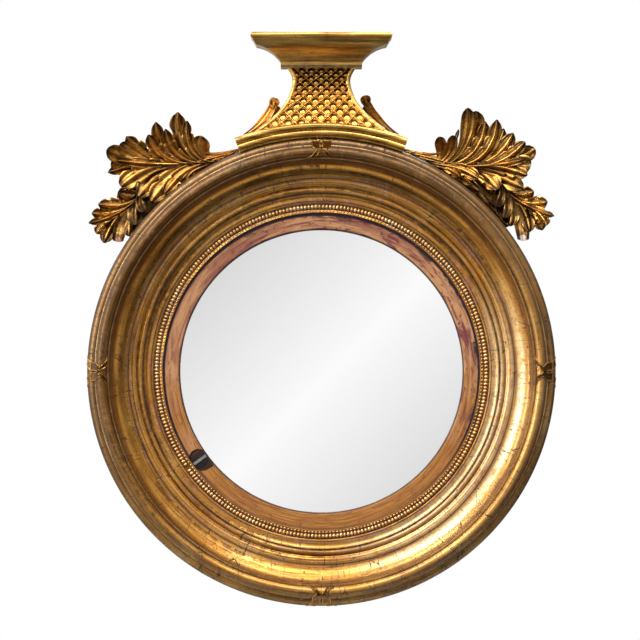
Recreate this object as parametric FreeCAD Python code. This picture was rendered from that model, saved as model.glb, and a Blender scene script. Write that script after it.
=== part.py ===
import FreeCAD, Part
import math
import os

# Convex wall mirror in a round carved and gilded frame, in millimetres.
# The centre of the ring lies on the wall at the origin, +Z is up and the front faces -Y.
# Every depth is counted forward from the wall, and every radius from the axis of the ring.

# back ring, laminated pine
side_radius = 390.0
back_depth = 58.0
core_depth = 34.0
sight_depth = 26.0
board_depth = 10.0
strap_recess = 2.8
hanger_recess = 9.0

# gaps between pieces
seat_gap = 0.2
glass_gap = 0.3
bar_gap = 0.07

# reeded rim
rim_inner = side_radius - 28.0
rim_radius = side_radius + 10.0
crest_radius = side_radius - 14.8
crest_half = 8.6
crest_top = 102.0
rim_fillet_top = 90.0
reed_split = side_radius - 2.6
reed_floor = 84.0
rim_back = 59.5

# cove, inside the rim
cove_outer = rim_inner - seat_gap
cove_inner = cove_outer - 30.8
cove_low = 52.5
cove_high = 87.0

# stepped moulding between beads and cove
step_outer = cove_inner - seat_gap
step_fillet = step_outer - 6.3
step_band = step_outer - 25.8
step_inner = step_outer - 38.8
step_front = 54.0
round_top = 50.5

# sight moulding with its course of beads
sight_radius = step_inner - seat_gap
sight_bore = sight_radius - 19.8
sight_front = 40.0
channel_outer = sight_radius - 3.8
channel_inner = sight_radius - 14.0
channel_floor = 34.4
bead_count = 288
bead_radial = 6.6
bead_tangent = 4.8
bead_height = 5.4
lost_bead_angle = 215.5

# bare slip between glass and beads
slip_radius = sight_bore + 1.2
slip_bore = slip_radius - 29.2
slip_front = 36.0
slip_lip = 32.0
slip_bevel_top = slip_lip + 2.0
recess_radius = 17.0
recess_floor = slip_bevel_top - 1.2
clip_angle = 215.5
clip_width = 4.8
clip_length = 26.0
clip_thickness = 1.2

# convex glass and what holds it
glass_radius = slip_bore + 10.0
glass_rise = 29.0
glass_thickness = 3.0
board_radius = glass_radius + 14.0
board_thickness = 8.0
block_count = 8
block_width = 15.0
block_angle = 5.0

# crossed ribbon ties over the rim
tie_thickness = 1.6
tie_outer_half = 26.0
tie_waist_half = 12.0
tie_inner_half = 30.0
tie_notch_half = 6.0

# pedestal on top of the ring
saddle_bore = rim_radius + 3.0
saddle_split = rim_radius + 13.5
saddle_radius = rim_radius + 25.0
saddle_half_angle = 20.4
saddle_front = 88.0
neck_head_half = 58.0
neck_foot_half = 113.0
neck_curve = (
    (49.5, saddle_radius + 73.0),
    (60.0, saddle_radius + 38.0),
    (77.0, saddle_radius + 15.0),
    (94.0, saddle_radius - 1.0),
)
neck_front = 58.0
neck_foot_front = 84.0
cornice_base = saddle_radius + 94.5
cornice_fillet_half = 69.5
cornice_fillet_top = cornice_base + 9.5
cornice_front = 74.0
cornice_reach = 48.0
cornice_lip = 6.0
plate_top = saddle_radius + 152.5
plate_half = 120.5
plate_thickness = 10.4
plate_front = 124.0

# carved panel on the pedestal
border_width = 9.0
border_height = 3.4
lattice_pitch = 15.0
lattice_width = 3.0
lattice_height = 2.0
lattice_tilt = 42.0

# iron straps behind the carving
strap_thickness = 2.5
strap_width = 16.0
strap_inner = side_radius - 42.0
strap_outer = side_radius + 46.0
strap_seat_gap = 0.3
upper_strap_angle = 32.0
lower_strap_angle = 47.0
post_strap_width = 22.0
post_strap_top = saddle_radius + 75.0

# hangers on the back
hanger_x = side_radius - 78.0
hanger_z = 92.0
hanger_width = 18.0
hanger_rise = 42.0
hanger_thickness = 1.6
barrel_radius = 3.0
wire_radius = 1.5
ring_half = 12.0
ring_leg = 8.0
pocket_margin = 8.0
hanger_screw_radius = 3.4
hanger_screw_low = 11.0
hanger_screw_high = 32.0
screw_shank_radius = 1.8
screw_length = 14.0

# leaves; their points are laid out for a ring of the layout radius and grow with it
leaf_layout_radius = 390.0
leaf_share = side_radius / leaf_layout_radius
leaf_edge = 4.5
leaf_ridge = 15.0
leaf_rise = 30.0
upper_midrib_half = 15.0
lower_midrib_half = 13.0
lobe_shares = ((0.0, 0.8), (0.35, 1.0), (0.65, 0.94), (0.87, 0.66), (1.0, 0.28))
curl_shares = ((0.0, 0.9), (0.3, 1.0), (0.6, 0.72), (0.8, 0.74), (0.93, 0.86), (1.0, 0.4))

# each lobe of a leaf: station of its root on the midrib, tip x, tip z, half width and bow
left_upper_rib = ((-184.0, 361.0), (-352.0, 362.0), 5.0)
left_upper_lobes = (
    (0.00, -148.0, 377.0, 4.5, 1.0),
    (0.05, -205.0, 404.0, 14.6, 12.0),
    (0.12, -229.0, 429.0, 10.1, 19.5),
    (0.15, -246.0, 444.0, 17.9, 24.5),
    (0.32, -284.0, 427.0, 15.7, 22.5),
    (0.38, -297.0, 406.0, 13.4, 15.5),
    (0.50, -335.0, 403.0, 14.6, 12.0),
    (0.60, -345.0, 391.0, 12.3, 8.0),
    (0.70, -368.0, 380.0, 13.4, 4.0),
    (0.80, -361.0, 351.0, 14.6, -2.5),
    (0.68, -366.0, 341.0, 9.0, -4.5),
    (0.55, -344.0, 317.0, 15.7, -10.0),
    (0.35, -313.0, 300.0, 15.7, -14.5),
    (0.12, -291.0, 292.0, 15.7, -15.0),
)
left_lower_rib = ((-311.0, 303.0), (-399.0, 254.5), 10.0)
left_lower_lobes = (
    (0.05, -348.0, 306.0, 12.3, 9.0),
    (0.15, -383.0, 287.0, 13.4, 11.0),
    (0.40, -394.0, 271.0, 11.2, 6.0),
    (0.65, -386.0, 236.0, 11.2, -4.0),
    (0.45, -373.0, 220.0, 12.3, -7.5),
    (0.25, -349.0, 222.0, 12.3, -9.0),
    (0.00, -331.0, 232.0, 15.7, -7.0),
)
right_upper_rib = ((187.0, 358.0), (350.0, 364.0), -8.0)
right_upper_lobes = (
    (0.00, 153.0, 376.0, 4.5, -1.0),
    (0.03, 207.0, 402.0, 12.3, -12.5),
    (0.12, 237.0, 413.0, 11.2, -17.5),
    (0.20, 257.0, 450.0, 22.0, -24.0),
    (0.24, 276.0, 438.0, 13.4, -26.0),
    (0.38, 302.0, 431.0, 14.6, -25.0),
    (0.44, 314.0, 417.0, 11.2, -20.5),
    (0.50, 329.0, 409.0, 14.6, -15.0),
    (0.66, 349.0, 394.0, 12.3, -8.5),
    (0.75, 367.0, 381.0, 12.3, -3.5),
    (0.85, 359.0, 352.0, 14.6, 3.0),
    (0.65, 353.0, 336.0, 13.4, 5.5),
    (0.42, 303.0, 313.0, 14.6, 11.0),
    (0.30, 346.0, 315.0, 14.6, 7.5),
    (0.15, 284.0, 300.0, 17.9, 12.0),
)
right_lower_rib = ((306.0, 325.0), (399.0, 266.5), -8.0)
right_lower_lobes = (
    (0.25, 365.0, 309.0, 13.4, -8.5),
    (0.45, 388.0, 291.0, 12.3, -6.0),
    (0.75, 386.0, 250.0, 11.2, 5.0),
    (0.60, 379.0, 242.0, 11.2, 6.5),
    (0.40, 357.0, 239.0, 12.3, 9.5),
    (0.20, 346.0, 224.0, 13.4, 12.0),
    (0.02, 324.0, 249.0, 16.8, 9.0),
)
# side leaves of the pedestal: root x and height over the saddle's crown, tip x and
# height over the root, and bow
left_bracket = ((-117.0, -16.0), (-79.5, 59.5), -7.0)
right_bracket = ((116.0, -15.0), (73.5, 62.0), 7.0)


def at(x, depth, z):
    return FreeCAD.Vector(x, -depth, z)


def wire(start, steps, place):
    # a step is the end of a straight line, the middle and end of an arc, or a longer
    # row of points that a smooth curve passes through
    edges = []
    here = start
    for step in steps + (start,):
        if isinstance(step[0], tuple) and len(step) > 2:
            curve = Part.BSplineCurve()
            curve.interpolate([place(*point) for point in (here,) + step])
            edges.append(curve.toShape())
            here = step[-1]
        elif isinstance(step[0], tuple):
            via, end = step
            edges.append(Part.Arc(place(*here), place(*via), place(*end)).toShape())
            here = end
        else:
            edges.append(Part.LineSegment(place(*here), place(*step)).toShape())
            here = step
    return Part.Wire(edges)


def turned(start, *steps, sweep=360.0, middle=0.0):
    # revolves a section of radii and depths about the axis of the ring
    face = Part.Face(wire(start, steps, lambda r, d: at(r, d, 0)))
    face.rotate(at(0, 0, 0), FreeCAD.Vector(0, 1, 0), -(middle - sweep / 2))
    return face.revolve(at(0, 0, 0), FreeCAD.Vector(0, -1, 0), sweep)


def cut_from_front(near, far, start, *steps):
    # extrudes an outline seen from the front between two depths
    face = Part.Face(wire(start, steps, lambda x, z: at(x, near, z)))
    return face.extrude(at(0, far - near, 0))


def cut_from_side(left, right, start, *steps):
    # extrudes an outline of depths and heights across the width
    face = Part.Face(wire(start, steps, lambda d, z: at(left, d, z)))
    return face.extrude(FreeCAD.Vector(right - left, 0, 0))


def bar(x, z, width, length, near, far, angle=0.0):
    # a flat bar whose length starts at x, z and runs up, then leans by an angle
    box = Part.makeBox(width, far - near, length, at(x - width / 2, far, z))
    box.rotate(at(x, 0, z), FreeCAD.Vector(0, 1, 0), angle)
    return box


def glass_front(radius):
    curve = (glass_radius**2 + glass_rise**2) / (2 * glass_rise)
    drop = curve - math.sqrt(curve**2 - radius**2)
    return sight_depth - glass_gap + glass_rise - drop


def back_ring():
    ring = turned(
        (board_radius + seat_gap, 0),
        (board_radius + seat_gap, board_depth),
        (glass_radius + 2, board_depth),
        (glass_radius + 2, sight_depth),
        (sight_radius + seat_gap / 2, sight_depth),
        (sight_radius + seat_gap / 2, core_depth),
        (cove_outer + seat_gap / 2, core_depth),
        (cove_outer + seat_gap / 2, back_depth),
        (side_radius, back_depth),
        (side_radius, 0),
    )
    length = side_radius - strap_inner + 8
    wide = post_strap_width + 2 * strap_seat_gap
    cuts = [bar(0, strap_inner, wide, length, -1, strap_recess)]
    for side in (-1, 1):
        for angle in (upper_strap_angle, lower_strap_angle):
            wide = strap_width + 2 * strap_seat_gap
            cut = bar(0, strap_inner, wide, length, -1, strap_recess)
            cut.rotate(at(0, 0, 0), FreeCAD.Vector(0, 1, 0), side * angle)
            cuts.append(cut)
        low = hanger_z - ring_leg - ring_half - wire_radius - pocket_margin
        high = hanger_rise + ring_leg + ring_half + wire_radius + 2 * pocket_margin
        wide = 2 * ring_half + 2 * wire_radius + pocket_margin
        pocket = bar(side * hanger_x, low, wide, high, -1, hanger_recess)
        cuts.append(pocket)
        for height in (hanger_screw_low, hanger_screw_high):
            spot = at(side * hanger_x, hanger_recess - 1, hanger_z + height)
            cuts.append(
                Part.makeCylinder(
                    screw_shank_radius, screw_length + 1.5, spot, at(0, 1, 0)
                )
            )
    return ring.cut(cuts)


def reeded_rim():
    crest_out = crest_radius + crest_half
    return turned(
        (rim_inner, back_depth),
        (rim_inner, rim_fillet_top),
        (crest_radius - crest_half, rim_fillet_top),
        (crest_radius - crest_half, rim_fillet_top + 2),
        ((crest_radius, crest_top), (crest_out - 0.5, rim_fillet_top)),
        (crest_out, rim_fillet_top - 3),
        (reed_split - 2.2, rim_fillet_top - 1),
        (reed_split, reed_floor),
        ((rim_radius, (reed_floor + rim_back) / 2), (side_radius, rim_back)),
        (side_radius, back_depth),
    )


def cove():
    middle = (
        cove_inner + 0.63 * (cove_outer - cove_inner),
        cove_low + 0.26 * (cove_high - cove_low),
    )
    return turned(
        (cove_inner, core_depth),
        (cove_inner, cove_low),
        (middle, (cove_outer, cove_high)),
        (cove_outer, core_depth),
    )


def stepped_moulding():
    return turned(
        (step_inner, core_depth),
        (step_inner, sight_front + 1),
        (step_inner + 4.5, sight_front + 1.5),
        (step_band - 1, round_top - 5),
        (step_band + 1, round_top - 6.5),
        (step_band + 1, round_top - 3),
        (
            (step_band + 5.5, round_top),
            (step_band + 10, round_top - 2),
        ),
        (step_fillet, round_top - 2.5),
        (step_fillet, step_front),
        (step_outer, step_front),
        (step_outer, core_depth),
    )


def sight_moulding():
    return turned(
        (slip_radius + seat_gap, sight_depth),
        (slip_radius + seat_gap, slip_front + 0.3),
        (sight_bore, slip_front + 0.3),
        (sight_bore, slip_front + 1.6),
        (sight_bore + 1.2, slip_front + 2.5),
        (sight_bore + 3, slip_front + 1),
        (channel_inner, channel_floor + 1.4),
        (channel_inner, channel_floor),
        (channel_outer, channel_floor),
        (channel_outer, sight_front - 1),
        (sight_radius, sight_front),
        (sight_radius, sight_depth),
    )


def bead_course():
    # each bead is a six-sided button, longer outwards than along the course
    first = bead(0, bead_radial / 2, bead_tangent / 2)
    second = bead(bead_height, bead_radial / 4, bead_tangent / 4)
    button = Part.makeLoft([first, second], True, True)
    pitch = 360.0 / bead_count
    beads = []
    for n in range(bead_count):
        angle = (n + 0.5) * pitch
        if abs(angle - lost_bead_angle) < pitch / 2:
            continue
        copy = button.copy()
        copy.rotate(at(0, 0, 0), FreeCAD.Vector(0, -1, 0), angle)
        beads.append(copy)
    return Part.makeCompound(beads)


def bead(height, outward, along):
    middle = (channel_inner + channel_outer) / 2
    corners = []
    for n in range(6):
        turn = math.radians(60 * n)
        corners.append(
            at(
                middle + outward * math.cos(turn),
                channel_floor + height,
                along * math.sin(turn) / math.sin(math.radians(60)),
            )
        )
    return Part.makePolygon(corners + corners[:1])


def on_slip(radius):
    turn = math.radians(clip_angle)
    return radius * math.cos(turn), radius * math.sin(turn)


def slip():
    bevel = glass_radius + 0.6
    ring = turned(
        (slip_bore, glass_front(slip_bore) + glass_gap),
        (slip_bore, slip_lip),
        (slip_bore + 2.2, slip_bevel_top),
        (slip_radius, slip_front),
        (slip_radius, sight_depth),
        (bevel, sight_depth),
    )
    x, z = on_slip((slip_bore + sight_bore) / 2)
    hole = Part.makeCylinder(
        recess_radius, slip_front, at(x, recess_floor, z), at(0, 1, 0)
    )
    return ring.cut(hole)


def slip_clip():
    # steel strip that crosses the slip on the floor of its round recess
    inner = slip_bore + 1
    strip = Part.makeBox(
        clip_length, clip_thickness, clip_width, at(inner, recess_floor + clip_thickness, 0)
    )
    strip.rotate(at(0, 0, 0), FreeCAD.Vector(0, -1, 0), clip_angle)
    return strip


def convex_glass():
    half = glass_radius / 2
    crown = glass_front(0)
    edge = glass_front(glass_radius)
    return turned(
        (0, crown),
        ((half, glass_front(half)), (glass_radius, edge)),
        (glass_radius, edge - glass_thickness),
        ((half, glass_front(half) - glass_thickness), (0, crown - glass_thickness)),
    )


def glass_blocks():
    blocks = []
    outer = glass_radius + 1.5
    top = glass_front(glass_radius) - glass_thickness
    for n in range(block_count):
        blocks.append(
            turned(
                (outer - block_width, board_depth),
                (outer, board_depth),
                (outer, top),
                (outer - block_width, top),
                sweep=block_angle,
                middle=(n + 0.5) * 360.0 / block_count,
            )
        )
    return Part.makeCompound(blocks)


def backboard():
    back = board_depth - board_thickness
    return Part.makeCylinder(
        board_radius, board_thickness, at(0, back, 0), at(0, 1, 0)
    )


def over_rim(height):
    # flats that wrap the fillet, the crest and the outer reed at a height above them
    crest_low = crest_top - crest_half
    reed_middle = (reed_floor + rim_back) / 2
    reed_half = rim_radius - side_radius + 0.8
    flats = []
    for turn in (180, 144, 108, 72, 36, 0):
        reach = (crest_half + height) / math.cos(math.radians(18))
        bend = math.radians(turn)
        flats.append(
            (crest_radius + reach * math.cos(bend), crest_low + reach * math.sin(bend))
        )
    for turn in (62, 24, -14, -52):
        reach = (reed_half + height) / math.cos(math.radians(19))
        bend = math.radians(turn)
        flats.append(
            (
                rim_radius - reed_half + reach * math.cos(bend),
                reed_middle + reach * math.sin(bend),
            )
        )
    return flats


def ribbon_tie(angle, rim):
    # two crossed bands pulled over the reeds, cut from a thin skin of flats
    inner = over_rim(0.3)
    outer = over_rim(0.3 + tie_thickness)
    skin = turned(inner[0], *inner[1:], *reversed(outer), sweep=12.0).cut(rim)
    near = rim_inner - 6
    far = rim_radius + 6
    cross = cut_from_front(
        back_depth - 10,
        crest_top + 10,
        (near, -tie_inner_half),
        (near, -tie_notch_half),
        (near + 12, 0),
        (near, tie_notch_half),
        (near, tie_inner_half),
        (crest_radius, tie_waist_half),
        (far, tie_outer_half),
        (far, tie_notch_half),
        (far - 16, 0),
        (far, -tie_notch_half),
        (far, -tie_outer_half),
        (crest_radius, -tie_waist_half),
    )
    tie = skin.common(cross)
    tie = max(tie.Solids, key=lambda piece: piece.Volume)
    tie.rotate(at(0, 0, 0), FreeCAD.Vector(0, -1, 0), angle)
    return tie


def pedestal_plate():
    low = plate_top - plate_thickness
    middle = low + plate_thickness / 2
    nose = plate_thickness / 2
    across = cut_from_front(
        strap_recess,
        plate_front + 5,
        (nose - plate_half, low),
        ((-plate_half, middle), (nose - plate_half, plate_top)),
        (plate_half - nose, plate_top),
        ((plate_half, middle), (plate_half - nose, low)),
    )
    along = cut_from_side(
        -plate_half,
        plate_half,
        (strap_recess, low),
        (plate_front - nose, low),
        ((plate_front, middle), (plate_front - nose, plate_top)),
        (strap_recess, plate_top),
    )
    return across.common(along)


def cornice_curve(start):
    # the cove of the cornice and the slanted lip above it, outwards from a flat face
    top = plate_top - plate_thickness
    rise = top - cornice_fillet_top
    return (
        (start, cornice_fillet_top),
        (start + 0.26 * cornice_reach, cornice_fillet_top + 0.37 * rise),
        (start + cornice_reach - cornice_lip, cornice_fillet_top + 0.72 * rise),
        (start + cornice_reach, top),
    )


def pedestal_cornice():
    half = cornice_fillet_half
    front = cornice_front
    foot, hollow, lip, top = cornice_curve(half)
    across = cut_from_front(
        strap_recess,
        plate_front,
        (-half, cornice_base),
        (half, cornice_base),
        foot,
        (hollow, lip),
        top,
        (-top[0], top[1]),
        (-lip[0], lip[1]),
        ((-hollow[0], hollow[1]), (-foot[0], foot[1])),
    )
    foot, hollow, lip, top = cornice_curve(front)
    along = cut_from_side(
        -plate_half,
        plate_half,
        (strap_recess, cornice_base),
        (front, cornice_base),
        foot,
        (hollow, lip),
        top,
        (strap_recess, top[1]),
    )
    return across.common(along)


def neck_front_skin(height, front_half):
    # the concave front of the neck, raised by a height
    foot = math.sqrt(saddle_radius**2 - neck_foot_half**2)
    middle = (cornice_base + foot) / 2
    return cut_from_side(
        -front_half,
        front_half,
        (strap_recess, foot - 2),
        (neck_foot_front + height, foot - 2),
        (
            (neck_front + 4 + height, middle),
            (neck_front + height, cornice_base),
        ),
        (strap_recess, cornice_base),
    )


def neck_sides(inset):
    # the front view of the neck, between its concave sides and the round saddle
    foot_x = neck_foot_half - 1.6 * inset
    foot = math.sqrt(saddle_radius**2 - foot_x**2)
    left = []
    right = []
    for half, height in neck_curve:
        left.append((inset - half, height))
        right.insert(0, (half - inset, height))
    return cut_from_front(
        strap_recess,
        plate_front,
        (inset - neck_head_half, cornice_base),
        tuple(left) + ((-foot_x, foot),),
        ((0, saddle_radius), (foot_x, foot)),
        tuple(right) + ((neck_head_half - inset, cornice_base),),
    )


def pedestal_neck():
    return neck_sides(0).common(neck_front_skin(0, neck_foot_half + 10))


def panel_border(neck, base):
    raised = neck_front_skin(border_height, neck_foot_half + 10).cut(neck)
    band = neck_sides(0).cut(neck_sides(border_width))
    reeds = band.common(raised).cut(base)
    return Part.makeCompound([s for s in reeds.Solids if s.Volume > 50])


def panel_lattice(neck):
    raised = neck_front_skin(lattice_height, neck_foot_half + 10).cut(neck)
    inside = neck_sides(border_width + seat_gap).common(raised)
    strips = []
    reach = 260.0
    for lean in (-lattice_tilt, lattice_tilt):
        for n in range(-6, 8):
            strip = Part.makeBox(
                lattice_width, plate_front, reach, at(-lattice_width / 2, plate_front, 0)
            )
            strip.translate(FreeCAD.Vector(n * lattice_pitch, 0, -reach / 2))
            strip.rotate(at(0, 0, 0), FreeCAD.Vector(0, 1, 0), lean)
            strip.translate(FreeCAD.Vector(0, 0, neck_curve[0][1] - 10))
            strips.append(strip)
    mesh = strips[0].fuse(strips[1:])
    lattice = inside.common(mesh)
    return Part.makeCompound([s for s in lattice.Solids if s.Volume > 20])


def saddle():
    lower = (saddle_bore + saddle_split) / 2
    upper = (saddle_split + saddle_radius) / 2
    return turned(
        (side_radius + seat_gap, strap_recess),
        (side_radius + seat_gap, back_depth - 1),
        (saddle_bore, back_depth - 1),
        (saddle_bore, saddle_front - 4),
        ((lower, saddle_front), (saddle_split - 0.6, saddle_front - 4)),
        (saddle_split, saddle_front - 4),
        ((upper, saddle_front + 3), (saddle_radius, saddle_front - 4)),
        (saddle_radius, strap_recess),
        sweep=2 * saddle_half_angle,
        middle=90.0,
    )


def facets(rings):
    # a closed solid of triangles through rows of as many corners each
    faces = []
    count = len(rings[0])
    for near, far in zip(rings, rings[1:]):
        for n in range(count):
            m = (n + 1) % count
            faces.append((near[n], near[m], far[m]))
            faces.append((near[n], far[m], far[n]))
    for end in (rings[0], rings[-1]):
        for n in range(1, count - 1):
            faces.append((end[0], end[n], end[n + 1]))
    flats = [Part.Face(Part.makePolygon(list(f) + [f[0]])) for f in faces]
    shell = Part.Shell(flats)
    solid = Part.Solid(shell)
    if solid.Volume < 0:
        solid.reverse()
    return solid


def lobe(root, tip, half, bow, low, rise, shares=lobe_shares):
    # a ridged lobe: five-cornered sections along a bowed line from root to tip
    run_x = tip[0] - root[0]
    run_z = tip[1] - root[1]
    length = math.hypot(run_x, run_z)
    side_x = -run_z / length
    side_z = run_x / length
    rings = []
    for along, share in shares:
        sway = 4 * bow * along * (1 - along)
        x = root[0] + run_x * along + side_x * sway
        z = root[1] + run_z * along + side_z * sway
        back = low + rise * along**3
        wide = half * share
        crest = back + leaf_edge + (leaf_ridge - leaf_edge) * share
        rings.append(
            (
                at(x - side_x * wide, back, z - side_z * wide),
                at(x - side_x * wide, back + leaf_edge, z - side_z * wide),
                at(x, crest, z),
                at(x + side_x * wide, back + leaf_edge, z + side_z * wide),
                at(x + side_x * wide, back, z + side_z * wide),
            )
        )
    return facets(rings)


def leaf(rib, lobes, half, neighbour):
    # a midrib lobe, and lobes that part from it along a bowed line
    (x0, z0), (x1, z1), bow = rib
    length = math.hypot(x1 - x0, z1 - z0)
    pieces = [grown_lobe((x0, z0), (x1, z1), half, bow, strap_recess, leaf_rise)]
    for n, (station, x, z, wide, sway) in enumerate(lobes):
        shift = 4 * bow * station * (1 - station)
        root = (
            x0 + (x1 - x0) * station - (z1 - z0) / length * shift,
            z0 + (z1 - z0) * station + (x1 - x0) / length * shift,
        )
        low = strap_recess + leaf_rise * station**2 * 0.8 + 0.37 * (n % 3)
        pieces.append(grown_lobe(root, (x, z), wide, sway, low, leaf_rise * 0.6))
    whole = pieces[0].fuse(pieces[1:])
    clear = Part.makeCylinder(
        side_radius + seat_gap, 200, at(0, -50, 0), at(0, 1, 0)
    )
    whole = whole.cut([clear, neighbour])
    return max(whole.Solids, key=lambda piece: piece.Volume)


def grown_lobe(root, tip, half, bow, low, rise):
    # a lobe whose laid out points and widths grow with the ring
    near = (root[0] * leaf_share, root[1] * leaf_share)
    far = (tip[0] * leaf_share, tip[1] * leaf_share)
    return lobe(near, far, half * leaf_share, bow * leaf_share, low, rise)


def side_bracket(root, tip, bow):
    # a leaf that climbs from the end of the saddle and curls over behind the neck
    low = strap_recess + 12
    base = saddle_radius + root[1]
    start = (root[0], base)
    stem = lobe(start, (tip[0], base + tip[1]), 10.5, bow, low, 14, curl_shares)
    behind = (root[0] * 0.72, base + 14)
    inner = lobe(start, behind, 11, -bow / 2, low - 3, 2)
    whole = stem.fuse(inner)
    clear = Part.makeCylinder(saddle_radius, 200, at(0, -50, 0), at(0, 1, 0))
    whole = whole.cut([clear, neck_sides(-seat_gap)])
    return max(whole.Solids, key=lambda piece: piece.Volume)


def flat_strap(width, inner, outer, angle):
    near = strap_recess - strap_thickness
    strap = bar(0, inner, width, outer - inner, near, strap_recess)
    strap.rotate(at(0, 0, 0), FreeCAD.Vector(0, 1, 0), angle)
    return strap


def hinge_depth():
    return hanger_recess - hanger_thickness - barrel_radius + 0.2


def hanger_strap(side):
    x = side * hanger_x
    floor = hanger_recess
    plate = bar(x, hanger_z, hanger_width, hanger_rise, floor - hanger_thickness, floor)
    left = at(x - hanger_width / 2, hinge_depth(), hanger_z)
    across = FreeCAD.Vector(1, 0, 0)
    barrel = Part.makeCylinder(barrel_radius, hanger_width, left, across)
    bore = Part.makeCylinder(wire_radius + bar_gap, hanger_width, left, across)
    strap = plate.fuse(barrel).cut(bore)
    holes = []
    for height in (hanger_screw_low, hanger_screw_high):
        spot = at(x, floor + 1, hanger_z + height)
        holes.append(
            Part.makeCylinder(
                screw_shank_radius, hanger_thickness + 2, spot, FreeCAD.Vector(0, 1, 0)
            )
        )
    return strap.cut(holes)


def hanger_ring(side):
    # a closed wire: straight bar in the barrel, two legs and a half round below
    x = side * hanger_x
    depth = hinge_depth()
    low = hanger_z - ring_leg
    bar_start = at(x - ring_half - wire_radius, depth, hanger_z)
    bar_length = 2 * (ring_half + wire_radius)
    ring = Part.makeCylinder(wire_radius, bar_length, bar_start, at(1, 0, 0))
    bend = Part.makeTorus(
        ring_half, wire_radius, at(x, depth, low), FreeCAD.Vector(0, 1, 0)
    )
    lower = Part.makeBox(60, 20, 30, at(x - 30, depth + 10, low - 30))
    pieces = [bend.common(lower)]
    for end in (-ring_half, ring_half):
        leg = Part.makeCylinder(
            wire_radius, ring_leg + wire_radius, at(x + end, depth, low), at(0, 0, 1)
        )
        pieces.append(leg)
    return ring.fuse(pieces)


def hanger_screws():
    screws = []
    face = hanger_recess - hanger_thickness
    for side in (-1, 1):
        for height in (hanger_screw_low, hanger_screw_high):
            spot = at(side * hanger_x, face, hanger_z + height)
            head = Part.makeCone(
                hanger_screw_radius, hanger_screw_radius * 0.6, 0.9, spot,
                FreeCAD.Vector(0, 1, 0),
            )
            shank = Part.makeCylinder(
                screw_shank_radius, screw_length, spot, at(0, 1, 0)
            )
            screws.append(head.fuse(shank))
    return Part.makeCompound(screws)


def build():
    rim = reeded_rim()
    neck = pedestal_neck()
    base = saddle()
    left_upper = leaf(left_upper_rib, left_upper_lobes, upper_midrib_half, base)
    right_upper = leaf(right_upper_rib, right_upper_lobes, upper_midrib_half, base)
    left_lower = leaf(left_lower_rib, left_lower_lobes, lower_midrib_half, left_upper)
    right_lower = leaf(
        right_lower_rib, right_lower_lobes, lower_midrib_half, right_upper
    )
    pieces = {
        "back_ring": back_ring(),
        "reeded_rim": rim,
        "cove_moulding": cove(),
        "stepped_moulding": stepped_moulding(),
        "sight_moulding": sight_moulding(),
        "bead_course": bead_course(),
        "slip": slip(),
        "slip_clip": slip_clip(),
        "convex_glass": convex_glass(),
        "glass_blocks": glass_blocks(),
        "backboard": backboard(),
        "ribbon_tie_right": ribbon_tie(0, rim),
        "ribbon_tie_top": ribbon_tie(90, rim),
        "ribbon_tie_left": ribbon_tie(180, rim),
        "ribbon_tie_bottom": ribbon_tie(270, rim),
        "pedestal_plate": pedestal_plate(),
        "pedestal_cornice": pedestal_cornice(),
        "pedestal_neck": neck,
        "pedestal_border": panel_border(neck, base),
        "pedestal_lattice": panel_lattice(neck),
        "pedestal_saddle": base,
        "left_upper_leaf": left_upper,
        "left_lower_leaf": left_lower,
        "right_upper_leaf": right_upper,
        "right_lower_leaf": right_lower,
        "left_bracket": side_bracket(*left_bracket),
        "right_bracket": side_bracket(*right_bracket),
        "pedestal_strap": flat_strap(post_strap_width, strap_inner, post_strap_top, 0),
        "hanger_screws": hanger_screws(),
    }
    for name, side in (("left", -1), ("right", 1)):
        for place, angle in (("upper", upper_strap_angle), ("lower", lower_strap_angle)):
            strap = flat_strap(strap_width, strap_inner, strap_outer, side * angle)
            pieces[f"{name}_{place}_strap"] = strap
        pieces[f"{name}_hanger_strap"] = hanger_strap(side)
        pieces[f"{name}_hanger_ring"] = hanger_ring(side)
    return pieces


os.makedirs("parts", exist_ok=True)
for name, shape in build().items():
    shape.exportStep(f"parts/{name}.step")
    print(name, len(shape.Solids), round(shape.Volume), shape.isValid())
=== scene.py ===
import bmesh
import bpy
import math
import random
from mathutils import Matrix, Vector


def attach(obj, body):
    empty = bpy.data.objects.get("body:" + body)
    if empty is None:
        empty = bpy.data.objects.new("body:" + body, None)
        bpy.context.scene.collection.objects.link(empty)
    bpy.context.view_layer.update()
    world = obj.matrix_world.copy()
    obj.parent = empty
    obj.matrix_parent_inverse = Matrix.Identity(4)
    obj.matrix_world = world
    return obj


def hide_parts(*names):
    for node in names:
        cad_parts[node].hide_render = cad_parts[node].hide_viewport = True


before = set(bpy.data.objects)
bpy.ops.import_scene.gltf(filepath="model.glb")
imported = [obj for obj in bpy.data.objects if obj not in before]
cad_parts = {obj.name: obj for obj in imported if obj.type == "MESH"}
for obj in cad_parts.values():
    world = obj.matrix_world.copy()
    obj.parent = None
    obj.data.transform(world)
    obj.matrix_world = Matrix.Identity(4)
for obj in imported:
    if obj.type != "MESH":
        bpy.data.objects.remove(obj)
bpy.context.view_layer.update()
print("frame loaded")

mm = 0.001
scene = bpy.context.scene


def linked(name, data):  # a new object that shows in the scene
    made = bpy.data.objects.new(name, data)
    scene.collection.objects.link(made)
    return made


# camera, floor and light

viewSizes = {"distance": 8.0, "height": 0.0882, "planeDepth": 0.075, "widthSeen": 1.0922, "shiftX": -0.0022, "film": 36}
camera = linked("camera", bpy.data.cameras.new("camera"))
camera.location = (0, -viewSizes["distance"], viewSizes["height"])
camera.rotation_euler = (math.pi / 2, 0, 0)
camera.data.lens = viewSizes["film"] * (viewSizes["distance"] - viewSizes["planeDepth"]) / viewSizes["widthSeen"]
camera.data.shift_x = viewSizes["shiftX"]
scene.camera = camera
scene.view_settings.view_transform = "Standard"


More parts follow.
